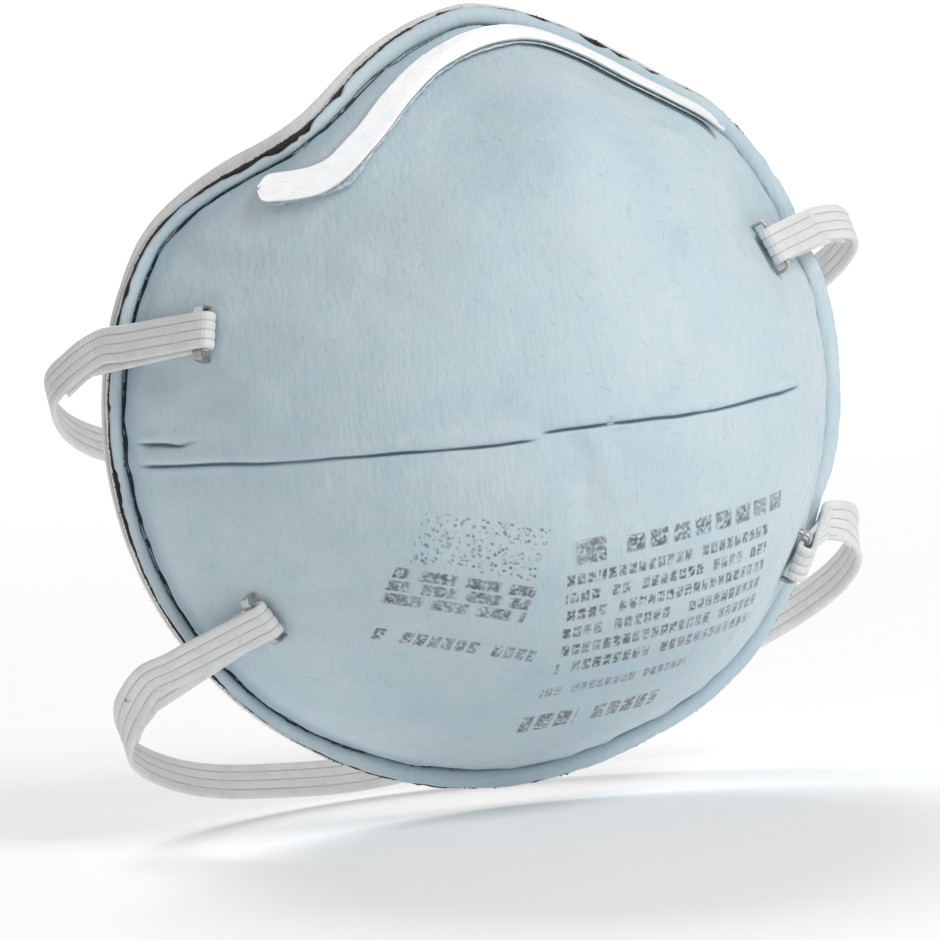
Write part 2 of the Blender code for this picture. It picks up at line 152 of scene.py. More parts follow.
# Soft folds: start (x, z), end (x, z), half width, rise of the web in millimetres
FOLDS = (
    ((-6.5, -2.0), (-4.5, -16.0), 2.2, -0.55), ((-3.0, -3.0), (0.5, -13.0), 2.0, 0.35),
    ((5.5, 0.5), (19.0, 13.0), 2.4, -0.45), ((9.0, -0.5), (24.0, 9.0), 2.2, 0.30),
    ((22.0, 45.2), (26.5, 43.2), 0.9, -1.00), ((23.5, 43.0), (28.0, 40.8), 1.5, 0.60),
    ((22.5, 46.0), (22.0, 51.0), 1.0, -0.45), ((27.5, 44.5), (33.0, 38.0), 1.8, 0.50),
    ((43.0, 0.5), (46.5, 16.0), 2.5, 0.55), ((42.0, -1.5), (44.5, -17.0), 2.6, 0.50),
    ((-57.0, 12.0), (-52.0, 5.0), 3.5, -0.90), ((-50.5, 10.5), (-46.5, 3.0), 2.6, 0.60),
    ((-47.0, 30.5), (-30.0, 27.0), 2.8, 0.55), ((-46.0, 26.0), (-28.0, 22.0), 2.6, -0.40),
    ((-36.0, 33.5), (-18.0, 33.0), 2.8, 0.45), ((-52.0, 19.5), (-38.0, 16.5), 2.4, 0.40),
    ((-27.0, 49.5), (-22.5, 46.5), 0.9, -0.50), ((-15.5, 56.5), (-13.5, 53.0), 0.9, -0.50),
    ((-33.5, 42.8), (-30.0, 41.3), 1.0, 0.35), ((-20.5, 53.5), (-17.0, 50.5), 1.1, 0.40),
    ((-43.0, -24.5), (-34.0, -27.0), 1.8, -0.40), ((-38.0, -20.0), (-26.0, -22.0), 2.6, 0.35),
    ((-50.0, -33.0), (-41.0, -38.0), 2.4, -0.35), ((12.0, 30.0), (24.0, 20.0), 3.2, 0.35),
    ((-12.0, 14.0), (-25.0, 8.0), 3.4, -0.35), ((-5.0, 8.0), (-16.0, 4.0), 3.0, 0.30),
    ((30.0, -40.0), (40.0, -32.0), 2.2, 0.35), ((-24.0, -48.0), (-12.0, -52.0), 2.4, 0.35),
)

# Where the dark web shows at the rim: turn, half spread (both degrees), depth in metres
BARE_EDGES = ((-44.0, 3.2, 0.0007), (-38.0, 3.0, 0.0013), (-34.0, 1.3, 0.0010), (-25.5, 1.0, 0.0005),
              (-57.5, 2.0, 0.0003), (-68.0, 1.0, 0.0005), (-85.0, 0.5, 0.0004), (-97.0, 3.0, 0.0007),
              (-103.0, 2.0, 0.0004), (19.5, 1.6, 0.0007), (23.5, 0.8, 0.0005), (11.0, 0.6, 0.0003),
              (133.0, 0.8, 0.0003), (29.0, 1.0, 0.0003))


# Printing, as plain bars: turn in degrees, then windows in millimetres in the turned view as
# left, right, bottom, top, row pitch, row fill, block width, share left out, strength
PRINT_WINDOWS = (
    (5.2, ((-0.5, 34.5, -22.6, -19.2, 3.4, 0.86, 4.3, 0.0, 0.95),
           (-9.0, -3.0, -23.0, -18.4, 4.6, 0.90, 9.0, 0.0, 0.80),
           (-9.5, 30.5, -41.6, -23.6, 3.0, 0.62, 1.75, 0.14, 0.95),
           (-10.5, 16.0, -45.2, -43.2, 2.0, 0.72, 1.4, 0.12, 0.75),
           (-11.5, -2.5, -51.2, -48.0, 3.2, 0.88, 3.1, 0.0, 0.95),
           (0.0, 12.5, -51.2, -48.0, 3.2, 0.80, 2.6, 0.0, 0.90))),
    (-14.0, ((-24.5, -0.5, -40.6, -38.2, 2.4, 0.80, 1.9, 0.12, 0.85),
             (-26.0, -5.0, -34.6, -28.2, 2.1, 0.84, 6.6, 0.0, 0.92))),
)
STIPPLE_TURN = -14.0
STIPPLE_PANEL = (-25.0, -6.0, -27.6, -19.0)

# Camera
CAMERA_DISTANCE = 6.0
CAMERA_FIELD = 0.1506
CAMERA_SIDE, CAMERA_ABOVE, CAMERA_ROLL = radians(-22), radians(5), radians(4.6)
CAMERA_SHIFT = (-0.00337, -0.0109)   # across and up


# ------------------------------------------------------------------ cup surface

def swell(value, centre, spread):
    """A smooth hump that is 1 at the centre."""
    return np.exp(-((value - centre) / spread) ** 2)


def ease(low, high, value):
    share = np.clip((value - low) / (high - low), 0.0, 1.0)
    return share * share * (3.0 - 2.0 * share)


def span(value, start, full, fading, end):
    """1 from full to fading, easing to 0 at start and end."""
    return ease(start, full, value) * (1.0 - ease(fading, end, value))


def swell_at(turn, centre, spread):
    """A hump along the rim, its centre and spread in degrees."""
    return swell(turn, radians(centre), radians(spread))


def run_of(points):
    """Distance along a line of points."""
    return np.concatenate(([0.0], np.cumsum(np.linalg.norm(np.diff(points, axis=0), axis=1))))


def rim_radius(turn):
    side = np.abs(turn)
    return HALF_WIDTH + NOSE_RISE * swell_at(side, 0, 11) - NOSE_WAIST * swell_at(side, 35, 19)


def rim_back(turn):
    side = np.abs(turn)
    nose = NOSE_FORWARD * (1.0 - ease(radians(36), radians(62), side))
    waist = WAIST_FORWARD * swell_at(side, 31, 12)
    chin = CHIN_FORWARD * ease(radians(110), radians(160), side)
    return CHEEK_BACK - nose - waist - chin


def foot_radius(turn):
    return rim_radius(turn) - FLANGE_WIDTH


def dome_back(turn, share):
    side = np.abs(turn)
    to_nose = np.maximum(0.0, np.cos(side))
    to_chin = np.maximum(0.0, -np.cos(side))
    spread = 2.1 - 0.2 * to_nose + 0.1 * to_chin
    fullness = 0.68 - 0.03 * to_nose - 0.04 * to_chin
    depth = CUP_DEPTH * np.maximum(0.0, 1.0 - share ** spread) ** fullness
    ridge = NOSE_RIDGE * swell_at(side, 0, 16) * swell(share, 0.80, 0.22)
    pinch = NOSE_PINCH * swell_at(side, 40, 15) * swell(share, 0.84, 0.15)
    depth = depth + ridge * (1.0 - share ** 6) - pinch * (1.0 - share ** 8)
    return rim_back(turn) * share ** 3 - depth


def nose_lean(turn, share):
    return NOSE_LEAN * np.maximum(0.0, np.cos(turn)) * ease(0.0, 0.18, 1.0 - share) * share


def cup_points(turn, ring, edge_inset=0.0):
    """The cup's outer face: ring 0 to 1 is the dome and 1 to 2 the flange."""
    share = np.minimum(ring, 1.0)
    radius = foot_radius(turn) * share + (FLANGE_WIDTH - edge_inset) * np.maximum(ring - 1.0, 0.0)
    lean = nose_lean(turn, share)
    return np.stack((radius * np.sin(turn) + lean, dome_back(turn, share), radius * np.cos(turn)), -1)


def surface_at(x, z):
    """The dome's outer face straight behind front-view points."""
    lean = np.zeros_like(np.asarray(x, float))
    for _ in range(14):
        turn = np.arctan2(x - lean, z)
        share = np.minimum(1.0, np.hypot(x - lean, z) / foot_radius(turn))
        lean = nose_lean(turn, share)
    return np.stack((np.asarray(x, float), dome_back(turn, share), np.asarray(z, float)), -1)


def unit(vectors):
    return vectors / np.maximum(np.linalg.norm(vectors, axis=-1, keepdims=True), 1e-12)


def facing(surface, x, z):
    """Outward direction of a surface at front-view points."""
    across = surface(x + NORMAL_STEP, z) - surface(x - NORMAL_STEP, z)
    upward = surface(x, z + NORMAL_STEP) - surface(x, z - NORMAL_STEP)
    return unit(np.cross(across, upward))


def settled(points):
    """The cup after handling: its right wall drawn in and its right rim spread."""
    points = np.array(points, float)
    x, z = points[..., 0], points[..., 2]
    turn = np.arctan2(x, z)
    radius = np.hypot(x, z)
    share = radius / foot_radius(turn)
    degrees = np.degrees(turn)
    spread_rim = 0.0020 * span(degrees, 22, 48, 135, 165)
    for where in (70.7, 112.3):
        spread_rim = spread_rim * (1.0 - 0.5 * swell(degrees, where, 5))
    drawn_in = 0.0030 * span(degrees, 38, 58, 84, 112)
    flange_out = 0.0011 * span(degrees, -165, -135, -32, -12)
    shift = spread_rim * ease(0.90, 1.01, share) - drawn_in * swell(share, 0.84, 0.11)
    shift = shift + flange_out * swell(share, 1.0, 0.045)
    grown = (radius + shift) / np.maximum(radius, 1e-9)
    points[..., 0] = x * grown
    points[..., 2] = z * grown
    return points


def settled_surface(x, z):
    return settled(surface_at(x, z))


# ------------------------------------------------------------------ soft noise

def cell_value(cell, seed):
    """A repeatable number from 0 to 1 for each cell of a lattice."""
    mixed = cell[..., 0] * 73856093 ^ cell[..., 1] * 19349663 ^ cell[..., 2] * 83492791 ^ seed * 26544357
    mixed = (mixed ^ (mixed >> 13)) * 1274126177
    return ((mixed ^ (mixed >> 16)) & 0xFFFF) / 65535.0


def lumps(points, size, seed):
    """Smooth noise from -1 to 1 whose lumps have about this size."""
    scaled = np.asarray(points, float) / size
    cell = np.floor(scaled).astype(np.int64)
    part = scaled - cell
    part = part * part * (3.0 - 2.0 * part)
    total = 0.0
    for corner in range(8):
        step = np.array([corner & 1, corner >> 1 & 1, corner >> 2 & 1])
        weight = np.prod(np.where(step > 0, part, 1.0 - part), axis=-1)
        total = total + weight * cell_value(cell + step, seed)
    return 2.0 * total - 1.0


def rim_lumps(turn, size, seed):
    """The same noise along the rim, closed where the turn comes round."""
    circle = np.stack((np.sin(turn), np.cos(turn), np.zeros_like(turn)), -1)
    return lumps(HALF_WIDTH * circle, size, seed)


def line_lumps(run, size, seed):
    """The same noise along a line."""
    return lumps(np.stack((run, run * 0, run * 0), -1), size, seed)


# ---------------------------------------------------------------- mesh helpers

def put(name, data):
    made = bpy.data.objects.new(name, data)
    bpy.context.scene.collection.objects.link(made)
    return made


def piece_from(name, points, faces, paint, smooth=True):
    mesh = bpy.data.meshes.new(name)
    mesh.from_pydata([tuple(point) for point in points], [], faces)
    mesh.validate()
    if smooth:
        mesh.shade_smooth()
    mesh.materials.append(paint)
    return put(name, mesh)


def add_values(piece, **values):
    """Store one number per point under each name, for the materials."""
    for name, numbers in values.items():
        layer = piece.data.attributes.new(name, "FLOAT", "POINT")
        layer.data.foreach_set("value", np.asarray(numbers, np.float32).ravel())


def add_map(piece, along, across):
    """A UV map in metres from one pair of numbers per point."""
    flat = np.stack((np.ravel(along), np.ravel(across)), -1).astype(np.float32)
    corners = np.zeros(len(piece.data.loops), np.int32)
    piece.data.loops.foreach_get("vertex_index", corners)
    layer = piece.data.uv_layers.new(name="run")
    layer.data.foreach_set("uv", flat[corners].ravel())


def wrapped_faces(rows, columns):
    """Quads of a grid of points numbered row by row, each row closed on itself."""
    row, column = np.meshgrid(np.arange(rows - 1), np.arange(columns), indexing="ij")
    here, after = row * columns + column, row * columns + (column + 1) % columns
    return np.stack((here, after, after + columns, here + columns), -1).reshape(-1, 4).tolist()


def capped_faces(rows, columns):
    """The same, with each end closed by a fan; the fans' middles are the last two points."""
    faces = wrapped_faces(rows, columns)
    first, base = rows * columns, (rows - 1) * columns
    for spot in range(columns):
        after = (spot + 1) % columns
        faces.append([first, after, spot])
        faces.append([first + 1, base + spot, base + after])
    return faces


# --------------------------------------------------------------------- webs

def turns_of(count, gather):
    """Turns round the cup, closer together at the cheeks where the crease runs."""
    share = np.arange(count) / count
    return 2 * pi * share - pi + gather * 0.5 * np.sin(4 * pi * share)


def rings_of(dome_step, foot_step, flange_count):
    """Ring values with a chosen spacing along the wall, finer near its foot."""
    fine = 1.0 - np.linspace(1.0, 0.0, 4000) ** 1.6
    length = run_of(cup_points(np.full(len(fine), radians(90)), fine))
    total = length[-1]
    stops = [0.0]
    while stops[-1] < total - foot_step * 0.6:
        step = foot_step + (dome_step - foot_step) * float(ease(0.004, 0.014, total - stops[-1]))
        near_pole = 1.0 - 0.7 * (1.0 - float(ease(0.004, 0.008, stops[-1])))
        stops.append(stops[-1] + step * near_pole)
    dome = np.interp(np.array(stops) * total / stops[-1], length, fine)
    dome[-1] = 1.0
    return np.concatenate((dome, 1.0 + np.linspace(0.0, 1.0, flange_count + 1)[1:]))


def grid_normals(points):
    """Outward normals of a (ring, turn) grid of the cup's face."""
    around = np.roll(points, -1, 1) - np.roll(points, 1, 1)
    outward = np.gradient(points, axis=0)
    normals = unit(np.cross(outward, around))
    normals[0] = (0.0, -1.0, 0.0)
    return normals if normals[..., 1].mean() < 0 else -normals


def foot_distance(points, rings):
    """Distance along the face from the wall's foot: positive on the dome, negative on the flange."""
    steps = np.linalg.norm(np.diff(points, axis=0), axis=-1)
    length = np.concatenate((np.zeros((1, points.shape[1])), np.cumsum(steps, axis=0)))
    foot = int(np.argmin(np.abs(rings - 1.0)))
    return length[foot] - length


def run_distance(x, z, run):
    """Height above a crease run, and how far along it a point lies, from 0 to 1."""
    xs = np.array([point[0] for point in run])
    zs = np.array([point[1] for point in run])
    return z - np.interp(x, xs, zs), (x - xs[0]) / (xs[-1] - xs[0])


def fold_lift(x, z):
    """Soft folds of the cover, in metres."""
    lift = np.zeros_like(x)
    for (x0, z0), (x1, z1), half, rise in FOLDS:
        dx, dz = x1 - x0, z1 - z0
        length = hypot(dx, dz)
        along = ((x / MM - x0) * dx + (z / MM - z0) * dz) / length ** 2
        away = ((x / MM - x0) * dz - (z / MM - z0) * dx) / length
        away = away + 0.5 * np.sin(3.0 * along)
        reach = np.exp(-np.maximum(0.0, np.abs(along - 0.5) - 0.35) ** 2 / 0.05)
        lift += rise * MM * np.exp(-(away / half) ** 2) * reach
    return lift


def strip_distance(x, z):
    """Front-view distance from the nose clip's centre line."""
    line = clip_line()
    far = np.full(x.shape, 1.0)
    for cx, cz in line[::5]:
        far = np.minimum(far, np.hypot(x - cx, z - cz))
    return far


def crease_relief(x, z, front):
    """Lift of the pressed crease and pleat, and the painted shade along each fold line."""
    lift = np.zeros_like(x)
    dark = np.zeros_like(x)
    for number, run in enumerate(CREASE_RUNS):
        above, along = run_distance(x, z, run)
        above = above + 0.00012 * line_lumps(x, 0.004, 31 + number)
        ends = span(along, -0.02, 0.03, 0.93, 1.03) * front
        lift += ends * (-0.00055 * swell(above, 0.0, 0.00034) + 0.00045 * swell(above, 0.0015, 0.0013)
                        - 0.00020 * swell(above, -0.0020, 0.0018))
        # Painted shade along the crease line, broken up by noise
        broken = 0.75 + 0.25 * line_lumps(x, 0.0035, 41 + number)
        dark = np.maximum(dark, ends * broken * swell(above, 0.0, 0.00026))
    above, along = run_distance(x, z, PLEAT)
    ends = span(along, -0.02, 0.15, 0.55, 1.0) * front
    lift += ends * (0.0005 * swell(above, 0.0012, 0.0010) - 0.0006 * swell(above, 0.0, 0.0004))
    dark = np.maximum(dark, 0.9 * ends * swell(above, 0.0, 0.00026))
    return lift, dark


def wall_share(ring):
    """1 on the dome and 0 from the wall's foot outwards."""
    return 1.0 - ease(0.975, 1.0, ring)


def web_relief(points, front):
    """Lift shared by all the webs: soft folds, the crease and the wavy lie of the cloth."""
    x, z = points[..., 0], points[..., 2]
    crease, dark = crease_relief(x, z, front)
    quilt = 0.00028 * lumps(points, 0.012, 21) + 0.00014 * lumps(points, 0.005, 22)
    near_clip = 1.0 - ease(0.0030, 0.0055, strip_distance(x, z))
    return (quilt + fold_lift(x, z) + crease) * front * (1.0 - near_clip), dark


def bare_edge(turn):
    """How far the cover has drawn back from the rim and lets the dark web show."""
    bare = np.zeros_like(turn)
    for centre, spread, depth in BARE_EDGES:
        bare = np.maximum(bare, depth * swell_at(turn, centre, spread))
    return bare * (1.0 + 0.45 * rim_lumps(turn, 0.0009, 5))


def closed_web(name, face, back, rim, paint):
    """One closed piece from the face, the rows round its edge and the back, each (ring, turn)."""
    rows = np.concatenate((face[1:], rim, back[1:][::-1]))
    points = np.concatenate((rows.reshape(-1, 3), face[1].mean(0)[None], back[0].mean(0)[None]))
    return piece_from(name, settled(points), capped_faces(*rows.shape[:2]), paint)


def edge_rows(front_edge, back_edge, outward, bulge, count):
    """Rows that carry the web round its outer edge."""
    rows = []
    for step in range(1, count + 1):
        share = step / (count + 1)
        rows.append(front_edge * (1 - share) + back_edge * share + outward * bulge * sin(pi * share))
    return np.array(rows)


def out_of_rim(turn):
    return np.stack((np.sin(turn), np.zeros_like(turn), np.cos(turn)), -1)


def make_cover(paint):
    turn = turns_of(560, 0.5)
    rings = rings_of(0.00095, 0.00022, 18)
    grid_turn, grid_ring = np.meshgrid(turn, rings)
    inset = (0.00040 + bare_edge(turn) + 0.00010 * rim_lumps(turn, 0.0007, 2)
             + 0.00018 * rim_lumps(turn, 0.0030, 3))
    flat = cup_points(grid_turn, grid_ring, inset[None, :])
    normals = grid_normals(flat)
    arc = foot_distance(flat, rings)
    jitter = 0.00016 * rim_lumps(grid_turn, 0.0011, 11) + 0.00022 * rim_lumps(grid_turn, 0.0032, 12)
    lift, crease_shade = web_relief(flat, wall_share(grid_ring))
    lift += 0.00006 * lumps(flat, 0.0018, 23) * ease(0.0, 0.002, np.abs(arc))
    pucker = 0.00042 + 0.00026 * rim_lumps(grid_turn, 0.0035, 13)
    lift += pucker * swell(arc + jitter, 0.0013, 0.0009)
    lift += (0.00030 + 0.00014 * rim_lumps(grid_turn, 0.006, 14)) * swell(arc, -0.0018, 0.0011)
    lift -= 0.00062 * swell(arc + jitter, -0.00004, 0.00045)
    lift -= 0.00030 * ease(0.0030, 0.0037, -arc)
    # Painted shade: the groove between dome and flange is painted as a dark ragged line, with a painted shade
    # band beside it on the dome. Both are wider on the left, away from the key lamp, and at -93.5 and -138
    # degrees.
    left = span(np.degrees(grid_turn), -178, -150, -20, 0)
    seam_width = (0.00036 + 0.00022 * left + 0.00015 * rim_lumps(grid_turn, 0.0045, 15)
                  + 0.00040 * swell_at(grid_turn, -93.5, 3.5)
                  + 0.00024 * swell_at(grid_turn, -138, 26) + 0.00012 * swell_at(grid_turn, 22, 9))
    seam = swell(arc + jitter, 0.00005, seam_width)
    shade = swell(np.maximum(arc, 0.0), 0.0, 0.0016 + 0.0014 * left) * ease(-0.0012, 0.0, arc)
    shade = shade * (0.75 + 0.25 * rim_lumps(grid_turn, 0.008, 16))
    face = flat + normals * lift[..., None]

    back_ring = rings_of(0.0060, 0.0012, 3)
    back_turn, back_rings = np.meshgrid(turn, back_ring)
    under = cup_points(back_turn, back_rings, inset[None, :])
    relief = web_relief(under, wall_share(back_rings))[0]
    under = under - grid_normals(under) * (WEBS["cover"][1] - relief)[..., None]
    rim = edge_rows(face[-1], under[-1], out_of_rim(turn), 0.00016, 3)
    cover = closed_web("cover_web_cloth", face, under, rim, paint)

    def whole(values, rest=0.0):
        """The face's values, then the same for the edge and the back, then the poles."""
        tail = np.full((len(rim) + len(under) - 1, len(turn)), rest)
        return np.concatenate((values[1:].ravel(), tail.ravel(), [values[0].mean(), rest]))

    add_values(cover, seam=whole(seam), shade=whole(shade), crease=whole(crease_shade),
               edge=whole(ease(0.0026, 0.0036, -arc), 1.0))
    add_map(cover, whole(grid_turn * HALF_WIDTH), whole(-arc))
    return cover


def make_inner_web(name, key, edge_of, paint, seed):
    """A web between the cover and the shell, whose frayed edge shows at the rim."""
    outer, thickness = WEBS[key]
    turn = turns_of(400, 0.0)
    rings = rings_of(0.0018, 0.0010, 5)
    grid_turn, grid_ring = np.meshgrid(turn, rings)
    edge = edge_of(turn)
    flat = cup_points(grid_turn, grid_ring, edge[None, :])
    normals = grid_normals(flat)
    relief = web_relief(flat, wall_share(grid_ring))[0]
    lift = relief + 0.00005 * lumps(flat, 0.003, seed)
    face = flat - normals * (outer - lift)[..., None]
    back = flat - normals * (outer + thickness - relief)[..., None]
    rim = edge_rows(face[-1], back[-1], out_of_rim(turn), 0.0002, 3)
    return closed_web(name, face, back, rim, paint)


def lip_reach(turn):
    """How far the shell's soft lip stands out past the other webs."""
    upper = swell_at(turn, -38, 20) + 0.35 * swell_at(turn, 30, 16)
    tucked = span(np.degrees(turn), -180, -170, -112, -84)
    return 0.00005 + 0.00120 * upper - 0.00035 * tucked + 0.00010 * rim_lumps(turn, 0.004, 51)


def make_shell(paint):
    outer, thickness = WEBS["shell"]
    turn = turns_of(480, 0.3)
    rings = rings_of(0.0013, 0.0006, 6)
    grid_turn, grid_ring = np.meshgrid(turn, rings)
    flat = cup_points(grid_turn, grid_ring, 0.0003)
    normals = grid_normals(flat)
    relief = web_relief(flat, wall_share(grid_ring))[0]
    pressed_in = 0.00009 * lumps(flat, 0.0028, 62)
    face = flat - normals * (outer - relief)[..., None]
    back = flat - normals * (outer + thickness - relief - pressed_in)[..., None]
    reach = lip_reach(turn)
    curl = ((0.0, 0.0), (0.5, 0.05), (0.9, 0.22), (1.0, 0.5), (0.9, 0.78), (0.5, 0.97), (0.0, 1.0))
    deep = 0.0009 + 0.0010 * swell_at(turn, -38, 24)
    outward = out_of_rim(turn)
    rim = []
    for number, (out, down) in enumerate(curl):
        ripple = 1.0 + 0.08 * rim_lumps(turn, 0.0025, 70 + number)
        rim.append(face[-1] + outward * ((reach + 0.0004) * out)[:, None]
                   + np.array((0.0, 1.0, 0.0)) * (deep * down * ripple)[:, None])
    return closed_web("inner_shell_moulded", face, back, np.array(rim), paint)


# ------------------------------------------------------------------ clip and foam

def nose_line(below_rim, reach, steps):
    """A line over the nose, a set way below the rim at the middle."""
    top = float(rim_radius(0.0)) - below_rim
    line = []
    for step in range(steps + 1):
        x = reach * (2.0 * step / steps - 1.0)
        shift = FOAM_BEND_SHIFT * (1.0 - (x / reach) ** 2)
        line.append((x + shift, top - FOAM_BEND_DROP * float(ease(0.0, FOAM_BEND_REACH, abs(x)))))
    return line


def clip_line():
    """The nose clip's centre line in the front view, as fingers have bent it."""
    course = smooth_through([(x, z, 0.0) for x, z in CLIP_COURSE], 30)
    return evenly(course, 0.0003)[1][0][:, :2]


def strip_frames(line):
    """Places, out, along and across directions of a strip laid on the cup."""
    line = np.array(line)
    places = surface_at(line[:, 0], line[:, 1])
    out = facing(surface_at, line[:, 0], line[:, 1])
    along = unit(np.gradient(places, axis=0))
    across = unit(np.cross(out, along))
    return places, out, along, across


def laid_strip(name, line, outline, paint, half_width_of, inset):
    """A closed strip: outline gives (across share, height) round its section."""
    places, out, along, across = strip_frames(line)
    run = run_of(places)
    half = half_width_of(run, run[-1])
    rows = []
    for side, height in outline:
        rise = height(run, run[-1]) if callable(height) else np.full_like(run, height)
        rows.append(places + across * (side * half)[:, None] + out * (rise - inset)[:, None])
    grid = np.array(rows).transpose(1, 0, 2) + (settled(places) - places)[:, None]
    points = np.concatenate((grid.reshape(-1, 3), grid[0].mean(0)[None], grid[-1].mean(0)[None]))
    made = piece_from(name, points, capped_faces(*grid.shape[:2]), paint)
    sides = np.array([side for side, height in outline])
    add_map(made, np.concatenate((np.repeat(run, len(outline)), [0.0, run[-1]])),
            np.concatenate((np.outer(half, sides).ravel(), [0.0, 0.0])))
    face_out(made)
    return made


def face_out(piece):
    """Turn a closed piece's faces outwards."""
    shape = bmesh.new()
    shape.from_mesh(piece.data)
    if shape.calc_volume(signed=True) < 0:
        bmesh.ops.reverse_faces(shape, faces=shape.faces)
        shape.to_mesh(piece.data)
    shape.free()


def round_ends(half, end):
    """A half width along a strip whose ends are rounded over a set length."""
    def width(run, total):
        near = np.minimum(run, total - run)
        return half * np.sqrt(np.clip(1.0 - np.maximum(0.0, 1.0 - near / end) ** 2.4, 0.03, 1.0))
    return width


def make_clip(paint, film_paint):
    line = clip_line()
    t = CLIP_THICKNESS / 2

    def crown(share):
        """Height across the strip: cupped between two rolled edges."""
        return t * (0.62 + 0.38 * abs(share) ** 4) - 0.00012 * (1 - share * share)

    top = [(share, crown(share)) for share in np.linspace(-0.93, 0.93, 13)]
    outline = ([(-1.0, -0.55 * t), (-1.0, 0.35 * t)] + top + [(1.0, 0.35 * t), (1.0, -0.55 * t)]
               + [(share, -t * 0.9) for share in np.linspace(0.93, -0.93, 7)])
    clip = laid_strip("nose_clip_strip", line, outline, paint,
                      round_ends(CLIP_WIDTH / 2, 0.0024), -CLIP_LIFT)
    smears = ((0.0150, 0.0028, 0.0010), (0.0030, 0.0014, 0.0005), (0.0480, 0.0030, 0.0003))

    def film_half(run, total):
        rough = 0.00016 * line_lumps(run, 0.0012, 81)
        extra = sum(more * swell(run, centre, spread) for centre, spread, more in smears)
        return round_ends(CLIP_WIDTH / 2 + FILM_MARGIN, 0.0030)(run, total) + rough + extra

    film_outline = [(-1.0, -0.00010), (-0.9, 0.00008), (-0.5, 0.00012), (0.0, 0.00012),
                    (0.5, 0.00012), (0.9, 0.00008), (1.0, -0.00010), (0.0, -0.00045)]
    film = laid_strip("nose_clip_glue", line, film_outline, film_paint, film_half, -0.00075)
    return clip, film


def make_foam(paint):
    line = nose_line(FOAM_BELOW_RIM, FOAM_REACH, 110)
    half = FOAM_THICKNESS / 2
    outline = []
    for step in range(28):
        angle = 2 * pi * step / 28
        side = np.sign(cos(angle)) * abs(cos(angle)) ** 0.45
        rise = np.sign(sin(angle)) * abs(sin(angle)) ** 0.55

        def height(run, total, rise=rise, side=side):
            near = np.minimum(run, total - run)
            full = np.sqrt(np.clip(1.0 - np.maximum(0.0, 1.0 - near / 0.0016) ** 2, 0.05, 1.0))
            soft = 0.00018 * lumps(np.stack((run, run * 0 + side * 0.004, run * 0), -1), 0.005, 91)
            return half * rise * full + soft * (rise < 0.3)

        outline.append((side, height))
    return laid_strip("nose_foam_pad", line, outline, paint, round_ends(FOAM_WIDTH / 2, 0.0014), FOAM_INSET)


# ----------------------------------------------------------------- headbands

class Attachment:
    """Where one headband end is stapled to the cup."""

    def __init__(self, level, side):
        which = 0 if side < 0 else -1
        turn = side * radians(STAPLE_TURNS[level][which])
        radius = float(foot_radius(turn)) * STAPLE_RADIUS_SHARES[level][which]
        x, z = radius * sin(turn), radius * cos(turn)
        self.level, self.side = level, side
        self.where = "left" if side < 0 else "right"
        self.place = settled_surface(x, z)
        self.out = facing(settled_surface, x, z)
        self.exit = np.array(ROUTES[level][which])
        toward = self.exit - self.place
        self.to_rim = unit(toward - self.out * toward.dot(self.out))
        self.across = np.cross(self.out, self.to_rim)
        self.up_across = self.across if self.across.dot(BAND_UP) > 0 else -self.across


def smooth_through(points, steps):
    """A smooth curve through the points."""
    points = np.array(points)
    ends = np.concatenate(([points[0] * 2 - points[1]], points, [points[-1] * 2 - points[-2]]))
    curve = []
    for spot in range(1, len(ends) - 2):
        p0, p1, p2, p3 = ends[spot - 1:spot + 3]
        for step in range(steps):
            t = step / steps
            curve.append(0.5 * (p1 * 2 + (p2 - p0) * t + (p0 * 2 - p1 * 5 + p2 * 4 - p3) * t * t
                                + (p1 * 3 - p0 - p2 * 3 + p3) * t ** 3))
    curve.append(points[-1])
    return np.array(curve)


def evenly(points, step, *others):
    """Points a fixed step apart along a line, with other rows of vectors carried along."""
    run = run_of(points)
    stops = np.linspace(0.0, run[-1], int(round(run[-1] / step)) + 1)
    moved = []
    for rows in (points, *others):
        moved.append(np.stack([np.interp(stops, run, rows[:, axis]) for axis in range(3)], -1))
    return stops, moved


def end_line(spot):
    """From the rim exit inwards: the top layer, then the fold round the staple."""
    far = spot.place + spot.out * TOP_LIFT
    near = spot.place + spot.out * TAIL_LIFT
    middle, radius = (near + far) / 2, (TOP_LIFT - TAIL_LIFT) / 2
    line = [far + (spot.exit - far) * share for share in (0.75, 0.5, 0.25, 0.0)]
    for angle in np.arange(1, 9) * pi / 8:
        turned = spot.out * (radius * cos(angle)) - spot.to_rim * (radius * sin(angle))
        line.append(middle - spot.to_rim * FOLD_REACH + turned)
    return line


def frames_along(points, wanted_across):
    along = unit(np.gradient(points, axis=0))
    across = unit(wanted_across - along * (wanted_across * along).sum(-1, keepdims=True))
    return along, across, np.cross(across, along)


def band_course(level):
    """The whole band from the fold at its left staple to the fold at its right one."""
    left, right = (Attachment(level, side) for side in (-1, 1))
    route = [np.array(point) for point in ROUTES[level]]
    start, finish = end_line(left)[::-1], end_line(right)
    guides = [left.up_across] * len(start)
    for number in range(len(route)):
        from_left = float(ease(0.0, 2.5, number))
        from_right = float(ease(0.0, 2.5, len(route) - 1 - number))
        guides.append(left.up_across * (1 - from_left) + right.up_across * (1 - from_right)
                      + unit(BAND_UP) * (from_left + from_right - 1))
    guides += [right.up_across] * len(finish)
    return smooth_through(start + route + finish, 6), smooth_through(guides, 6), left, right


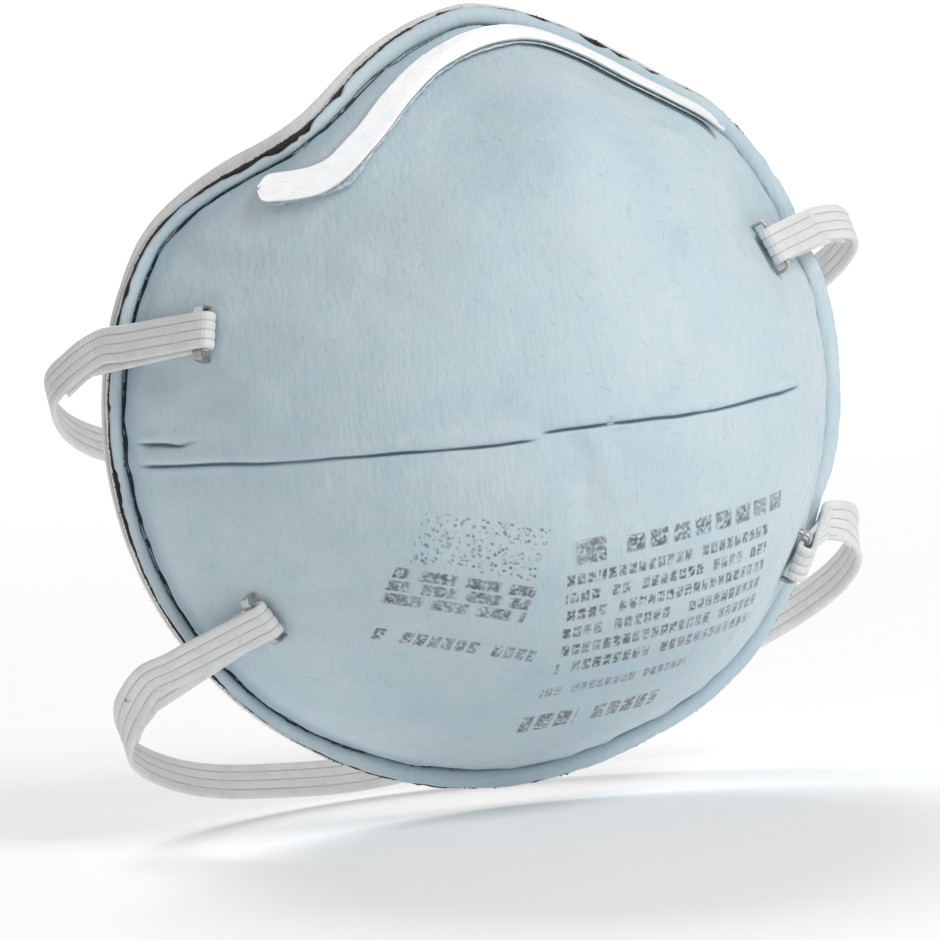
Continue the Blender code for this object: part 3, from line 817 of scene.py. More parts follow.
def rib_outline(count):
    """The braid's section: cords side by side with a groove between, alike on both faces."""
    half = BAND_WIDTH / 2
    outline = []
    for step in range(count):
        angle = 2 * pi * (step + 0.5) / count
        across = 1.0 - 2.0 * abs(((angle / pi) % 2.0) - 1.0)
        face = 1.0 if angle < pi else -1.0
        rib = abs(sin(pi * BAND_RIBS * (across + 1) / 2)) ** 0.55
        edge = max(0.0, 1.0 - abs(across) ** 14) ** 0.5
        height = BAND_THICKNESS / 2 * (0.66 + 0.34 * rib) * max(edge, 0.25)
        outline.append((half * across, face * height))
    return outline


def swept_band(name, points, across, face, run, paint, seed):
    """A closed braided band with rounded ends."""
    sides, heights = np.array(rib_outline(52)).T
    near = np.minimum(run - run[0], run[-1] - run)
    taper = np.clip(np.sqrt(np.clip(near / 0.0005, 0.0, 1.0)), 0.35, 1.0)
    knit = 0.035 * np.sin(2 * pi * run / 0.00135)
    wide = 1.0 + 0.012 * line_lumps(run, 0.014, seed)
    thick = taper[:, None] * (1.0 + knit[:, None] * np.cos(pi * BAND_RIBS * sides / BAND_WIDTH)[None, :])
    rows = (points[:, None, :] + across[:, None, :] * (sides[None, :] * wide[:, None])[..., None]
            + face[:, None, :] * (heights[None, :] * thick)[..., None])
    flat = np.concatenate((rows.reshape(-1, 3), rows[0].mean(0)[None], rows[-1].mean(0)[None]))
    band = piece_from(name, flat, capped_faces(*rows.shape[:2]), paint)
    add_map(band, np.concatenate((np.repeat(run, len(sides)), [run[0], run[-1]])),
            np.concatenate((np.tile(sides, len(rows)), [0.0, 0.0])))
    face_out(band)
    return band


def swing_with(piece):
    """Bake the piece's placement into its mesh."""
    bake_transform(piece)


def make_headband(level, paint):
    points, guides, left, right = band_course(level)
    run, (points, guides) = evenly(points, BAND_STEP, guides)
    along, across, face = frames_along(points, guides)
    band = swept_band(f"{level}_headband_braid", points, across, face, run, paint, 101)
    tails = [make_tail(level, spot, paint) for spot in (left, right)]
    return band, tails, np.concatenate((points[::9], points[-1:])), run[-1]


def make_tail(level, spot, paint):
    """The loose end: from the fold, under the staple's crown and out past the rim."""
    near = spot.place + spot.out * TAIL_LIFT
    loop = smooth_through(ROUTES[level], 12)
    if spot.side > 0:
        loop = loop[::-1]
    guide = unit(BAND_UP)
    along = unit(np.gradient(loop, axis=0))
    across = unit(guide - along * (along @ guide)[:, None])
    face = np.cross(across, along)
    inward = face if (face[0] * np.array((-spot.side, 0.0, 0.3))).sum() > 0 else -face
    shifted = loop + inward * (BAND_THICKNESS + LAYER_GAP)
    run = run_of(loop)
    kept = shifted[(run > 0.0030) & (run < TAIL_REACH)]
    start = near - spot.to_rim * FOLD_REACH
    line = [start, near, near + (kept[0] - near) * 0.35, near + (kept[0] - near) * 0.7]
    side = spot.up_across
    guides = [side] * 4 + [guide * min(1.0, 0.3 + number / 12) + side * max(0.0, 0.7 - number / 12)
                           for number in range(len(kept))]
    points = smooth_through(line + list(kept), 4)
    guides = smooth_through(guides, 4)
    stops, (points, guides) = evenly(points, BAND_STEP, guides)
    along, across, out = frames_along(points, guides)
    return swept_band(f"band_tail_{level}_{spot.where}_braid", points, across, out, stops, paint, 107)


# ------------------------------------------------------------------- staples

def make_staple(spot, paint):
    """Flat wire: crown over the tail, rounded shoulders, legs and clinched ends."""
    bend = 0.00075
    sink = WALL_DEPTH + 0.00055
    inner = CROWN_HALF - bend
    half = [(CROWN_HALF - CLINCH_LENGTH, -sink), (inner, -sink)]
    half += [(inner + bend * sin(a), -sink + bend - bend * cos(a)) for a in (0.4, 0.8, 1.2)]
    half += [(CROWN_HALF, -sink + bend), (CROWN_HALF, CROWN_LIFT - bend)]
    half += [(inner + bend * cos(a), CROWN_LIFT - bend + bend * sin(a)) for a in (0.4, 0.8, 1.2)]
    half += [(inner, CROWN_LIFT)]
    whole = [(-side, height) for side, height in half] + half[::-1]
    centre = np.array([spot.place + spot.across * side + spot.out * height for side, height in whole])
    wide = spot.to_rim
    face = unit(np.cross(unit(np.gradient(centre, axis=0)), wide))
    w, t = WIRE_WIDTH / 2, WIRE_THICKNESS / 2
    outline = [(-w, -0.6 * t), (-w, 0.6 * t), (-0.86 * w, t), (-0.30 * w, t), (-0.12 * w, 0.72 * t),
               (0.12 * w, 0.72 * t), (0.30 * w, t), (0.86 * w, t), (w, 0.6 * t), (w, -0.6 * t),
               (0.86 * w, -t), (-0.86 * w, -t)]
    rows = np.array([[point + wide * side + out * height for side, height in outline]
                     for point, out in zip(centre, face)])
    count = len(outline)
    base = (len(rows) - 1) * count
    faces = wrapped_faces(len(rows), count)
    faces.append(list(range(count))[::-1])
    faces.append(list(range(base, base + count)))
    name = f"staple_{spot.level}_{spot.where}_wire"
    staple = piece_from(name, rows.reshape(-1, 3), faces, paint, smooth=False)
    shape = bmesh.new()
    shape.from_mesh(staple.data)
    bmesh.ops.recalc_face_normals(shape, faces=shape.faces)
    shape.to_mesh(staple.data)
    shape.free()
    return staple


# ------------------------------------------------------------------ materials

def feed(tree, socket, value):
    """Link a socket to another socket, or set its own value."""
    if isinstance(value, bpy.types.NodeSocket):
        tree.links.new(value, socket)
    elif value is not None:
        socket.default_value = value


def node(tree, kind, inputs=None, **settings):
    """A shader or geometry node with its settings and input values or links."""
    made = tree.nodes.new(kind)
    for name, value in settings.items():
        setattr(made, name, value)
    for name, value in (inputs or {}).items():
        feed(tree, made.inputs[name], value)
    return made


def math(tree, operation, first, second=None):
    made = node(tree, "ShaderNodeMath", operation=operation)
    for socket, value in zip(made.inputs, (first, second)):
        feed(tree, socket, value)
    return made.outputs[0]


def times(tree, first, second):
    return math(tree, "MULTIPLY", first, second)


def inside(tree, mask, pairs):
    """The mask where the first of each pair is less than the second."""
    for low, high in pairs:
        mask = times(tree, mask, math(tree, "LESS_THAN", low, high))
    return mask


def spread(tree, value, low, high, to_low=0.0, to_high=1.0):
    made = node(tree, "ShaderNodeMapRange", {"Value": value, "From Min": low, "From Max": high,
                                             "To Min": to_low, "To Max": to_high})
    return made.outputs["Result"]


def mixed(tree, share, first, second):
    made = node(tree, "ShaderNodeMix", data_type="RGBA")
    for number, value in zip((0, 6, 7), (share, first, second)):
        feed(tree, made.inputs[number], value)
    return made.outputs[2]


def tinted(tree, base, *tints):
    """The base colour with further colours laid over it, each by its mask and amount."""
    for mask, amount, colour in tints:
        base = mixed(tree, times(tree, mask, amount), base, (*colour, 1))
    return base


def noise(tree, where, scale, detail=2.0, roughness=0.5):
    return node(tree, "ShaderNodeTexNoise", {"Vector": where, "Scale": scale, "Detail": detail,
                                             "Roughness": roughness}).outputs["Fac"]


def cells(tree, where, scale):
    return node(tree, "ShaderNodeTexVoronoi", {"Vector": where, "Scale": scale}).outputs["Distance"]


def value_of(tree, name):
    return node(tree, "ShaderNodeAttribute", attribute_name=name).outputs["Fac"]


def new_group(name, inputs, outputs, kind="ShaderNodeTree"):
    tree = bpy.data.node_groups.new(name, kind)
    for label, kind, value in inputs:
        socket = tree.interface.new_socket(name=label, in_out="INPUT", socket_type=kind)
        if value is not None:
            socket.default_value = value
    for label, kind in outputs:
        tree.interface.new_socket(name=label, in_out="OUTPUT", socket_type=kind)
    given, made = tree.nodes.new("NodeGroupInput"), tree.nodes.new("NodeGroupOutput")
    return tree, given.outputs, made


def fibre_group():
    """Laid fibres of a non-woven web: crossing streaks, clumps and single dark fibres."""
    labels = ("Streaks", "Clumps", "Specks", "Height")
    tree, given, made = new_group(
        "laid_fibres",
        [("Position", "NodeSocketVector", None), ("Fibre Size", "NodeSocketFloat", 0.0006),
         ("Clump Size", "NodeSocketFloat", 0.006)],
        [(label, "NodeSocketFloat") for label in labels])
    where = given["Position"]
    per_fibre = math(tree, "DIVIDE", 1.0, given["Fibre Size"])
    per_clump = math(tree, "DIVIDE", 1.0, given["Clump Size"])
    streaks = 0.0
    for turn, stretch in ((0.35, 5.0), (-0.9, 4.0), (1.75, 6.0)):
        laid = node(tree, "ShaderNodeMapping", {"Vector": where, "Rotation": (0.3 * turn, turn, 0.2),
                                                "Scale": (1.0, 0.6, 1.0 / stretch)})
        streaks = math(tree, "ADD", streaks, noise(tree, laid.outputs[0], per_fibre, 3.0, 0.55))
    streaks = spread(tree, math(tree, "DIVIDE", streaks, 3.0), 0.38, 0.62)
    clumps = spread(tree, noise(tree, where, per_clump, 4.0, 0.6), 0.32, 0.68)
    specks = spread(tree, noise(tree, where, times(tree, per_fibre, 1.3), 1.0), 0.68, 0.78)
    height = math(tree, "ADD", times(tree, streaks, 0.6), times(tree, clumps, 0.4))
    for label, value in zip(labels, (streaks, clumps, specks, height)):
        tree.links.new(value, made.inputs[label])
    return tree


def scratch_group():
    """Fine lengthwise rolling marks of drawn metal, from a map in metres."""
    tree, given, made = new_group(
        "drawn_metal", [("Run", "NodeSocketVector", None), ("Mark Width", "NodeSocketFloat", 0.00012)],
        [("Marks", "NodeSocketFloat"), ("Tarnish", "NodeSocketFloat")])
    drawn_out = node(tree, "ShaderNodeMapping", {"Vector": given["Run"], "Scale": (0.03, 1.0, 1.0)})
    marks = noise(tree, drawn_out.outputs[0], math(tree, "DIVIDE", 1.0, given["Mark Width"]), 3.0)
    tree.links.new(spread(tree, marks, 0.35, 0.65), made.inputs["Marks"])
    tarnish = noise(tree, given["Run"], 420.0, 3.0)
    tree.links.new(spread(tree, tarnish, 0.45, 0.75), made.inputs["Tarnish"])
    return tree


def place_group(tree, group, inputs):
    made = tree.nodes.new("ShaderNodeGroup")
    made.node_tree = group
    for name, value in inputs.items():
        feed(tree, made.inputs[name], value)
    return made.outputs


def new_finish(name, roughness, **settings):
    """A material with its node tree and shader; settings name shader sockets."""
    finish = bpy.data.materials.new(name)
    finish.use_nodes = True
    shader = finish.node_tree.nodes["Principled BSDF"]
    shader.inputs["Roughness"].default_value = roughness
    shader.inputs["Sheen Roughness"].default_value = 0.5
    for label, value in settings.items():
        shader.inputs[label.replace("_", " ")].default_value = value
    return finish, finish.node_tree, shader


def bump(tree, shader, height, distance, strength=1.0, under=None):
    made = node(tree, "ShaderNodeBump", {"Height": height, "Distance": distance, "Strength": strength})
    if under is not None:
        tree.links.new(under.outputs["Normal"], made.inputs["Normal"])
    tree.links.new(made.outputs["Normal"], shader.inputs["Normal"])
    return made


def place(tree):
    return node(tree, "ShaderNodeTexCoord").outputs["Object"]


def bars_group():
    """Rows of short plain printed blocks inside a window, with some blocks left out."""
    sizes = ("Along", "Up", "Left", "Right", "Bottom", "Top", "Row Pitch", "Row Fill", "Block Width",
             "Left Out")
    tree, value, made = new_group("printed_bars", [(label, "NodeSocketFloat", 0.0) for label in sizes],
                                  [("Mask", "NodeSocketFloat")])
    rows = math(tree, "DIVIDE", math(tree, "SUBTRACT", value["Up"], value["Bottom"]), value["Row Pitch"])
    row = math(tree, "FLOOR", rows)
    shifted = times(tree, math(tree, "SINE", times(tree, row, 2.3)), 0.5)
    blocks = math(tree, "ADD", math(tree, "DIVIDE", value["Along"], value["Block Width"]), shifted)
    pair = node(tree, "ShaderNodeCombineXYZ", {"X": math(tree, "FLOOR", blocks), "Y": row})
    chance = node(tree, "ShaderNodeTexWhiteNoise", {"Vector": pair.outputs[0]}, noise_dimensions="3D")
    kept = math(tree, "GREATER_THAN", chance.outputs["Value"], value["Left Out"])

    def off_middle(run):
        return math(tree, "ABSOLUTE", math(tree, "SUBTRACT", math(tree, "FRACT", run), 0.5))

    half_fill = times(tree, value["Row Fill"], 0.5)
    in_row = spread(tree, math(tree, "SUBTRACT", half_fill, off_middle(rows)), -0.03, 0.05)
    in_block = spread(tree, math(tree, "SUBTRACT", 0.39, off_middle(blocks)), -0.04, 0.06)
    mask = inside(tree, times(tree, times(tree, in_row, in_block), kept),
                  ((value["Left"], value["Along"]), (value["Along"], value["Right"]),
                   (value["Bottom"], value["Up"]), (value["Up"], value["Top"])))
    tree.links.new(mask, made.inputs["Mask"])
    return tree


def turned_pair(tree, where, angle):
    """Distances along and up a printed block turned in the front view."""
    pair = []
    for direction in ((cos(angle), 0.0, sin(angle)), (-sin(angle), 0.0, cos(angle))):
        dot = node(tree, "ShaderNodeVectorMath", operation="DOT_PRODUCT")
        tree.links.new(where, dot.inputs[0])
        dot.inputs[1].default_value = direction
        pair.append(dot.outputs["Value"])
    return pair


def printed_ink(tree, where, bars):
    """Where the cover is printed: all the bar windows and the stippled panel together."""
    mask = 0.0
    for turned, windows in PRINT_WINDOWS:
        along, up = turned_pair(tree, where, radians(turned))
        for left, right, bottom, top, pitch, fill, width, left_out, strength in windows:
            placed = place_group(tree, bars, {
                "Along": along, "Up": up, "Left": left * MM, "Right": right * MM, "Bottom": bottom * MM,
                "Top": top * MM, "Row Pitch": pitch * MM, "Row Fill": fill, "Block Width": width * MM,
                "Left Out": left_out})
            mask = math(tree, "MAXIMUM", mask, times(tree, placed["Mask"], strength))
    along, up = turned_pair(tree, where, radians(STIPPLE_TURN))
    dots = spread(tree, cells(tree, where, 1150.0), 0.42, 0.30)
    left, right, bottom, top = (side * MM for side in STIPPLE_PANEL)
    dots = inside(tree, dots, ((left, along), (along, right), (bottom, up), (up, top)))
    mask = math(tree, "MAXIMUM", mask, times(tree, dots, 0.8))
    soaked = spread(tree, noise(tree, where, 1500.0, 3.0), 0.36, 0.56)
    patchy = spread(tree, noise(tree, where, 260.0, 2.0), 0.30, 0.62, 0.55, 1.0)
    return times(tree, mask, times(tree, soaked, patchy))


def cover_finish(fibres, bars):
    finish, tree, shader = new_finish("pale_blue_web", 0.92, Sheen_Weight=0.25)
    where = place(tree)
    web = place_group(tree, fibres, {"Position": where, "Fibre Size": 0.00075, "Clump Size": 0.0065})
    broad = spread(tree, noise(tree, where, 55.0), 0.35, 0.65)
    cloth = mixed(tree, broad, (0.500, 0.632, 0.702, 1), (0.590, 0.690, 0.738, 1))
    # Painted shade along the groove at the wall's foot, its line made ragged by noise
    ragged = times(tree, math(tree, "SUBTRACT", noise(tree, where, 1300.0, 3.0), 0.5), 1.3)
    seam = spread(tree, math(tree, "ADD", value_of(tree, "seam"), ragged), 0.36, 0.66)
    cloth = tinted(
        tree, cloth,
        (web["Clumps"], 0.45, (0.640, 0.720, 0.750)),
        (web["Streaks"], 0.30, (0.440, 0.590, 0.670)),
        (web["Specks"], 0.35, (0.300, 0.440, 0.520)),
        (printed_ink(tree, where, bars), 0.90, (0.055, 0.062, 0.064)),
        (value_of(tree, "shade"), 0.72, (0.105, 0.270, 0.370)),
        # Painted shade along the crease and pleat lines
        (spread(tree, value_of(tree, "crease"), 0.06, 0.50), 0.88, (0.030, 0.105, 0.160)),
        (seam, 0.93, (0.016, 0.040, 0.060)),
        (spread(tree, value_of(tree, "edge"), 0.25, 1.0), 0.35, (0.330, 0.400, 0.440)))
    tree.links.new(cloth, shader.inputs["Base Color"])
    felt = bump(tree, shader, web["Height"], 0.00022, 0.55)
    bump(tree, shader, cells(tree, where, 700.0), 0.00006, 0.35, under=felt)
    return finish


def carbon_finish(fibres):
    finish, tree, shader = new_finish("carbon_loaded_web", 0.85, Sheen_Weight=0.1)
    web = place_group(tree, fibres, {"Position": place(tree), "Fibre Size": 0.0003, "Clump Size": 0.0014})
    dark = mixed(tree, web["Streaks"], (0.012, 0.010, 0.010, 1), (0.045, 0.038, 0.036, 1))
    dark = tinted(tree, dark, (web["Specks"], 0.7, (0.22, 0.20, 0.19)))
    tree.links.new(dark, shader.inputs["Base Color"])
    bump(tree, shader, web["Height"], 0.0003, 0.9)
    return finish


def white_web_finish(name, fibres, colour, fibre, clump):
    finish, tree, shader = new_finish(name, 0.88, Sheen_Weight=0.3)
    where = place(tree)
    web = place_group(tree, fibres, {"Position": where, "Fibre Size": fibre, "Clump Size": clump})
    red, green, blue = colour
    soft = mixed(tree, web["Clumps"], (red * 0.90, green * 0.90, blue * 0.91, 1), (*colour, 1))
    soft = tinted(tree, soft, (web["Streaks"], 0.25, (red * 0.84, green * 0.84, blue * 0.86)))
    tree.links.new(soft, shader.inputs["Base Color"])
    felt = bump(tree, shader, web["Height"], 0.00028, 0.6)
    bump(tree, shader, cells(tree, where, 900.0), 0.00008, 0.4, under=felt)
    return finish


def foam_finish():
    finish, tree, shader = new_finish("open_cell_foam", 0.95)
    where = place(tree)
    holes = math(tree, "MINIMUM", cells(tree, where, 1500.0), cells(tree, where, 620.0))
    holes = spread(tree, holes, 0.05, 0.45)
    # The pores are painted darker than the cell walls: painted shade inside the open cells
    colour = mixed(tree, holes, (0.30, 0.30, 0.30, 1), (0.66, 0.66, 0.645, 1))
    tree.links.new(colour, shader.inputs["Base Color"])
    bump(tree, shader, holes, 0.0003, 0.8)
    return finish


def elastic_finish():
    """Braided elastic: cords with painted shade in the thin groove between them and fine knit marks across,
    their troughs painted a little darker as shade.
    """
    finish, tree, shader = new_finish("braided_elastic", 0.78, Sheen_Weight=0.2)
    run = node(tree, "ShaderNodeUVMap", uv_map="run").outputs[0]
    split = node(tree, "ShaderNodeSeparateXYZ", {"Vector": run})
    along, across = split.outputs[0], split.outputs[1]
    phase = times(tree, math(tree, "ADD", across, BAND_WIDTH / 2), pi * BAND_RIBS / BAND_WIDTH)
    rib = math(tree, "ABSOLUTE", math(tree, "SINE", phase))
    inner = math(tree, "LESS_THAN", math(tree, "ABSOLUTE", across), BAND_WIDTH * 0.40)
    cord_groove_shade = times(tree, spread(tree, rib, 0.02, 0.34, 1.0, 0.0), inner)
    patchy = spread(tree, noise(tree, run, 260.0, 3.0), 0.35, 0.6)
    cord_groove_shade = times(tree, cord_groove_shade, spread(tree, patchy, 0.0, 1.0, 0.40, 0.75))
    stitch_run = math(tree, "ADD", times(tree, along, 2 * pi / STITCH_LENGTH), times(tree, rib, 1.4))
    stitch = spread(tree, math(tree, "SINE", stitch_run), -1.0, 1.0)
    white = mixed(tree, patchy, (0.74, 0.74, 0.74, 1), (0.80, 0.80, 0.795, 1))
    # Painted shade: the knit's troughs a little darker and the groove between cords dark
    white = tinted(tree, white, (math(tree, "SUBTRACT", 1.0, stitch), 0.10, (0.50, 0.50, 0.50)),
                   (cord_groove_shade, 1.0, (0.27, 0.27, 0.28)))
    tree.links.new(white, shader.inputs["Base Color"])
    knitted = bump(tree, shader, stitch, 0.00006, 0.7)
    bump(tree, shader, noise(tree, run, 3800.0, 3.0), 0.00007, 0.6, under=knitted)
    return finish


def clip_finish(marks):
    finish, tree, shader = new_finish("satin_aluminium", 0.30, Metallic=1.0)
    run = node(tree, "ShaderNodeUVMap", uv_map="run").outputs[0]
    drawn = place_group(tree, marks, {"Run": run, "Mark Width": 0.00010})
    colour = mixed(tree, drawn["Marks"], (0.80, 0.81, 0.82, 1), (0.92, 0.925, 0.93, 1))
    colour = tinted(tree, colour, (drawn["Tarnish"], 0.25, (0.62, 0.64, 0.66)))
    tree.links.new(colour, shader.inputs["Base Color"])
    tree.links.new(spread(tree, drawn["Marks"], 0.0, 1.0, 0.26, 0.40), shader.inputs["Roughness"])
    bump(tree, shader, drawn["Marks"], 0.00002, 0.35)
    return finish


def glue_finish():
    finish, tree, shader = new_finish("dried_glue", 0.28, Coat_Weight=0.3)
    crinkle = noise(tree, place(tree), 1400.0, 4.0)
    colour = mixed(tree, spread(tree, crinkle, 0.4, 0.65), (0.42, 0.52, 0.57, 1), (0.72, 0.77, 0.79, 1))
    tree.links.new(colour, shader.inputs["Base Color"])
    bump(tree, shader, crinkle, 0.0003, 0.7)
    return finish


def steel_finish(marks):
    finish, tree, shader = new_finish("bright_steel_wire", 0.3, Metallic=1.0)
    drawn = place_group(tree, marks, {"Run": place(tree), "Mark Width": 0.00015})
    colour = mixed(tree, drawn["Marks"], (0.34, 0.33, 0.32, 1), (0.62, 0.61, 0.60, 1))
    colour = tinted(tree, colour, (drawn["Tarnish"], 0.6, (0.12, 0.11, 0.10)))
    tree.links.new(colour, shader.inputs["Base Color"])
    tree.links.new(spread(tree, drawn["Tarnish"], 0.0, 1.0, 0.22, 0.5), shader.inputs["Roughness"])
    bump(tree, shader, drawn["Marks"], 0.00003, 0.5)
    return finish


# ----------------------------------------------------- scattered fibres and crumbs

def scatter_tree(name, shape, paint):
    """Small shapes scattered over a web: amount per square metre, size, lift and seed are inputs."""
    tree, given, made = new_group(
        name,
        [("Web", "NodeSocketGeometry", None), ("Amount", "NodeSocketFloat", 1e6),
         ("Size", "NodeSocketFloat", 0.001), ("Lift", "NodeSocketFloat", 0.0), ("Seed", "NodeSocketInt", 1)],
        [("Scattered", "NodeSocketGeometry")], "GeometryNodeTree")
    spots = node(tree, "GeometryNodeDistributePointsOnFaces",
                 {"Mesh": given["Web"], "Density": given["Amount"], "Seed": given["Seed"]})
    spin = node(tree, "FunctionNodeRandomValue", {"Max": 2 * pi, "Seed": given["Seed"]}, data_type="FLOAT")
    about = node(tree, "FunctionNodeAxisAngleToRotation", {"Axis": (0.0, 0.0, 1.0), "Angle": spin.outputs[1]})
    turned = node(tree, "FunctionNodeRotateRotation", {"Rotation": spots.outputs["Rotation"]},
                  rotation_space="LOCAL")
    tree.links.new(about.outputs[0], turned.inputs[1])
    sizes = node(tree, "FunctionNodeRandomValue", {"Min": 0.5, "Max": 1.3, "Seed": 9}, data_type="FLOAT")
    scale = times(tree, sizes.outputs[1], given["Size"])
    raised = node(tree, "ShaderNodeVectorMath", {"Scale": given["Lift"]}, operation="SCALE")
    tree.links.new(spots.outputs["Normal"], raised.inputs[0])
    lifted = node(tree, "GeometryNodeSetPosition", {"Geometry": spots.outputs["Points"],
                                                    "Offset": raised.outputs[0]})
    placed = node(tree, "GeometryNodeInstanceOnPoints",
                  {"Points": lifted.outputs[0], "Instance": shape(tree),
                   "Rotation": turned.outputs[0], "Scale": scale})
    real = node(tree, "GeometryNodeRealizeInstances", {"Geometry": placed.outputs[0]})
    painted = node(tree, "GeometryNodeSetMaterial", {"Geometry": real.outputs[0], "Material": paint})
    tree.links.new(painted.outputs[0], made.inputs[0])
    return tree


def crumb_shape(tree):
    return node(tree, "GeometryNodeMeshIcoSphere", {"Radius": 0.5, "Subdivisions": 1}).outputs[0]


def thread_shape(tree, resolution, start, middle, end, radius):
    """One bowed thread, about a unit long."""
    bow = node(tree, "GeometryNodeCurveQuadraticBezier",
               {"Resolution": resolution, "Start": start, "Middle": middle, "End": end})
    ring = node(tree, "GeometryNodeCurvePrimitiveCircle", {"Resolution": 3, "Radius": radius})
    return node(tree, "GeometryNodeCurveToMesh", {"Curve": bow.outputs[0], "Profile Curve": ring.outputs[0],
                                                  "Fill Caps": True}).outputs[0]


def fibre_shape(tree):
    return thread_shape(tree, 5, (-0.5, 0.0, -0.02), (0.0, 0.25, 0.16), (0.5, -0.06, -0.02), 0.0065)


def standing_shape(tree):
    return thread_shape(tree, 4, (0.0, 0.0, -0.1), (0.1, 0.0, 0.5), (0.55, 0.1, 0.75), 0.022)


def kept_faces(source, wanted):
    """A copy of the faces of a piece whose centres pass a test."""
    shape = bmesh.new()
    shape.from_mesh(source.data)
    dropped = [face for face in shape.faces if not wanted(face.calc_center_median())]
    bmesh.ops.delete(shape, geom=dropped, context="FACES")
    mesh = bpy.data.meshes.new("carrier")
    shape.to_mesh(mesh)
    shape.free()
    return put("carrier", mesh)


def scattered(name, tree, carrier, **values):
    """Run the scatter on a carrier and keep the result as a plain mesh."""
    modifier = carrier.modifiers.new("scatter", "NODES")
    modifier.node_group = tree
    sockets = {item.name: item.identifier for item in tree.interface.items_tree if item.in_out == "INPUT"}
    for label, value in values.items():
        modifier[sockets[label]] = value
    evaluated = carrier.evaluated_get(bpy.context.evaluated_depsgraph_get())
    mesh = bpy.data.meshes.new_from_object(evaluated)
    carrier.modifiers.remove(modifier)
    bpy.data.objects.remove(carrier)
    return put(name, mesh)


def past_radius(low, high):
    """A test for faces whose front-view radius, as a share of the wall's foot, is in a range."""
    def wanted(centre):
        share = hypot(centre.x, centre.z) / float(foot_radius(atan2(centre.x, centre.z)))
        return low < share < high
    return wanted


# ------------------------------------------------------------ stage and camera

def make_camera():
    """A long lens level with the cup, a little to its left and above."""
    right = Vector((cos(CAMERA_SIDE), sin(CAMERA_SIDE), 0.0))
    level_back = Vector((sin(CAMERA_SIDE), -cos(CAMERA_SIDE), 0.0))
    up = Vector((0.0, 0.0, 1.0)) * cos(CAMERA_ABOVE) - level_back * sin(CAMERA_ABOVE)
    back = right.cross(up)
    turned_right = right * cos(CAMERA_ROLL) - up * sin(CAMERA_ROLL)
    turned_up = right * sin(CAMERA_ROLL) + up * cos(CAMERA_ROLL)
    aim = turned_right * CAMERA_SHIFT[0] + turned_up * CAMERA_SHIFT[1]
    lens = bpy.data.cameras.new("camera")
    lens.sensor_width = 36.0
    lens.lens = lens.sensor_width * CAMERA_DISTANCE / CAMERA_FIELD
    lens.clip_start, lens.clip_end = 0.1, 20.0
    camera = put("camera", lens)
    basis = Matrix((turned_right, turned_up, back)).transposed().to_4x4()
    camera.matrix_world = Matrix.Translation(aim + back * CAMERA_DISTANCE) @ basis
    bpy.context.scene.camera = camera
    return right, up, back


def add_lamp(name, place_at, aim, size, power):
    light = bpy.data.lights.new(name, "AREA")
    light.shape = "DISK"
    light.size = size
    light.energy = power
    lamp = put(name, light)
    lamp.location = place_at
    lamp.rotation_mode = "QUATERNION"
    lamp.rotation_quaternion = (aim - place_at).to_track_quat("-Z", "Y")


def make_stage(right, up, back):
    floor_height = cad_box[0][2] - 0.0008
    bpy.ops.mesh.primitive_plane_add(size=12.0, location=(0.0, 0.0, floor_height))
    floor = bpy.context.object
    floor.name = "floor"
    finish, tree, shader = new_finish(
        "pale_floor", 0.9, Base_Color=(0.80, 0.80, 0.80, 1), Specular_IOR_Level=0.0,
        Emission_Color=(1.0, 1.0, 1.0, 1), Emission_Strength=0.14)
    floor.data.materials.append(finish)
    world = bpy.data.worlds.new("studio")
    world.use_nodes = True
    backdrop = world.node_tree.nodes["Background"]
    backdrop.inputs["Color"].default_value = (1.0, 1.0, 1.0, 1.0)
    rays = node(world.node_tree, "ShaderNodeLightPath").outputs
    plain = math(world.node_tree, "MAXIMUM", rays["Is Camera Ray"], rays["Is Glossy Ray"])
    strength = spread(world.node_tree, plain, 0.0, 1.0, 0.40, 1.05)
    world.node_tree.links.new(strength, backdrop.inputs["Strength"])
    bpy.context.scene.world = world
    bpy.context.scene.view_settings.view_transform = "Standard"
    aim = Vector((0.0, -0.01, 0.0))
    add_lamp("key", aim + right * 0.55 + up * 0.55 + back * 0.60, aim, 0.50, 4.9)
    add_lamp("behind", aim - right * 0.50 + up * 1.90 - back * 3.00, aim, 1.30, 105.0)


# ---------------------------------------------------------------- assembly

view_right, view_up, view_back = make_camera()
fibres, marks = fibre_group(), scratch_group()
elastic = elastic_finish()
steel = steel_finish(marks)

for level in ("upper", "lower"):
    band, tails, path, length = make_headband(level, elastic)
    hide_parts(f"{level}_headband", f"band_end_{level}_left", f"band_end_{level}_right")
    swing_with(band)
    for tail, where in zip(tails, ("left", "right")):
        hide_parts(f"band_tail_{level}_{where}")
        swing_with(tail)

make_stage(view_right, view_up, view_back)

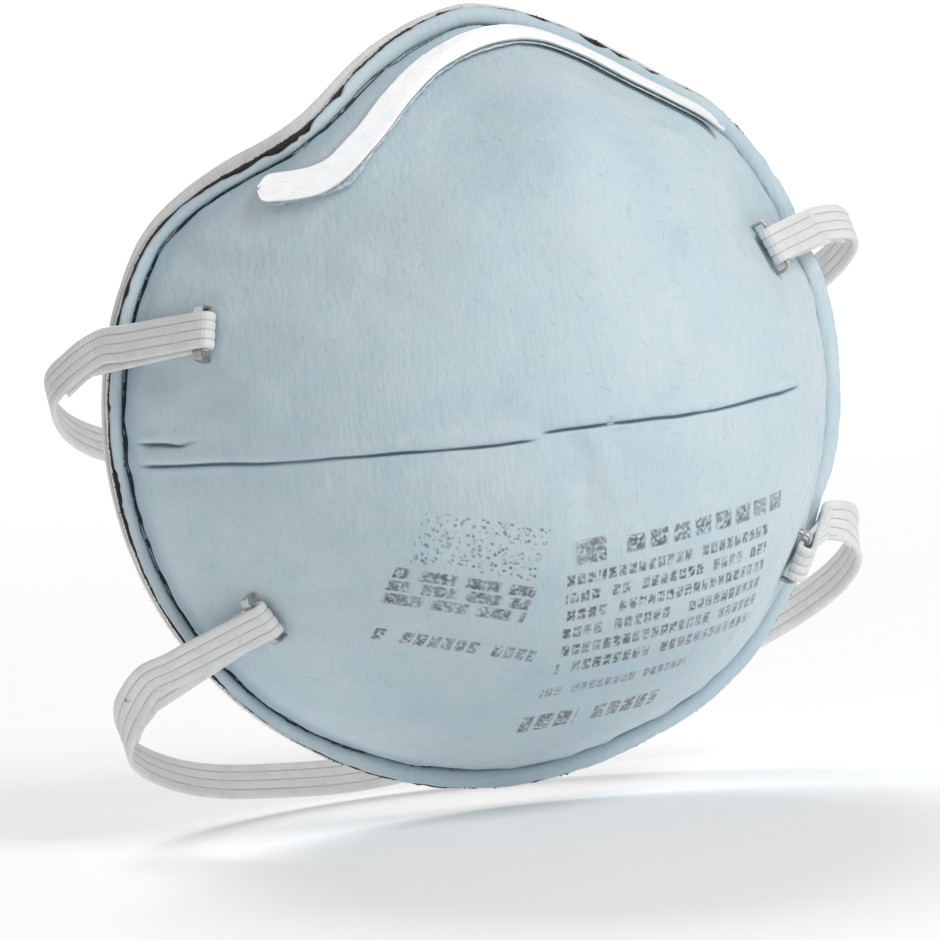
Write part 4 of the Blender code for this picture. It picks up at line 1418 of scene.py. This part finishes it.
cover_paint = cover_finish(fibres, bars_group())
cover = make_cover(cover_paint)
carbon_paint = carbon_finish(fibres)
carbon = make_inner_web(
    "carbon_web_layer", "carbon",
    lambda turn: 0.00034 - 0.00016 * rim_lumps(turn, 0.0012, 7) - 0.15 * bare_edge(turn), carbon_paint, 33)
filter_paint = white_web_finish("fine_filter_web", fibres, (0.80, 0.80, 0.79), 0.0004, 0.004)
filter_web = make_inner_web("filter_web_layer", "filter",
                            lambda turn: 0.00042 - 0.00008 * rim_lumps(turn, 0.0015, 8), filter_paint, 34)
shell_paint = white_web_finish("moulded_shell_web", fibres, (0.80, 0.80, 0.795), 0.0007, 0.005)
shell = make_shell(shell_paint)
clip, film = make_clip(clip_finish(marks), glue_finish())
foam = make_foam(foam_finish())

crumbs = scattered("carbon_crumbs", scatter_tree("carbon_crumbs", crumb_shape, carbon_paint),
                   kept_faces(carbon, past_radius(1.050, 1.2)), Amount=2.2e6, Size=0.00022, Lift=0.00008, Seed=4)
lint = scattered("cover_lint", scatter_tree("lying_fibres", fibre_shape, cover_paint),
                 kept_faces(cover, past_radius(0.0, 0.97)), Amount=1.1e5, Size=0.0020, Lift=0.00002, Seed=7)
fuzz = scattered("shell_edge_fuzz", scatter_tree("standing_fibres", standing_shape, shell_paint),
                 kept_faces(shell, past_radius(1.055, 1.2)), Amount=3.0e6, Size=0.00055, Lift=0.0, Seed=12)
for extra, slot in ((crumbs, "carbon"), (lint, "cover"), (fuzz, "shell")):
    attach(extra, "mask")

for piece, cad_node, slot in ((cover, "cover_web", "cover"), (carbon, "carbon_web", "carbon"),
                              (filter_web, "filter_web", "filter"), (shell, "inner_shell", "shell"),
                              (clip, "nose_clip", "clip"), (film, "nose_clip_adhesive", "adhesive"),
                              (foam, "nose_foam", "foam")):
    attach(piece, "mask")
    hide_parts(cad_node)

for level in ("upper", "lower"):
    for side, where in ((-1, "left"), (1, "right")):
        staple = make_staple(Attachment(level, side), steel)
        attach(staple, "mask")
        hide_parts(f"staple_{level}_{where}")
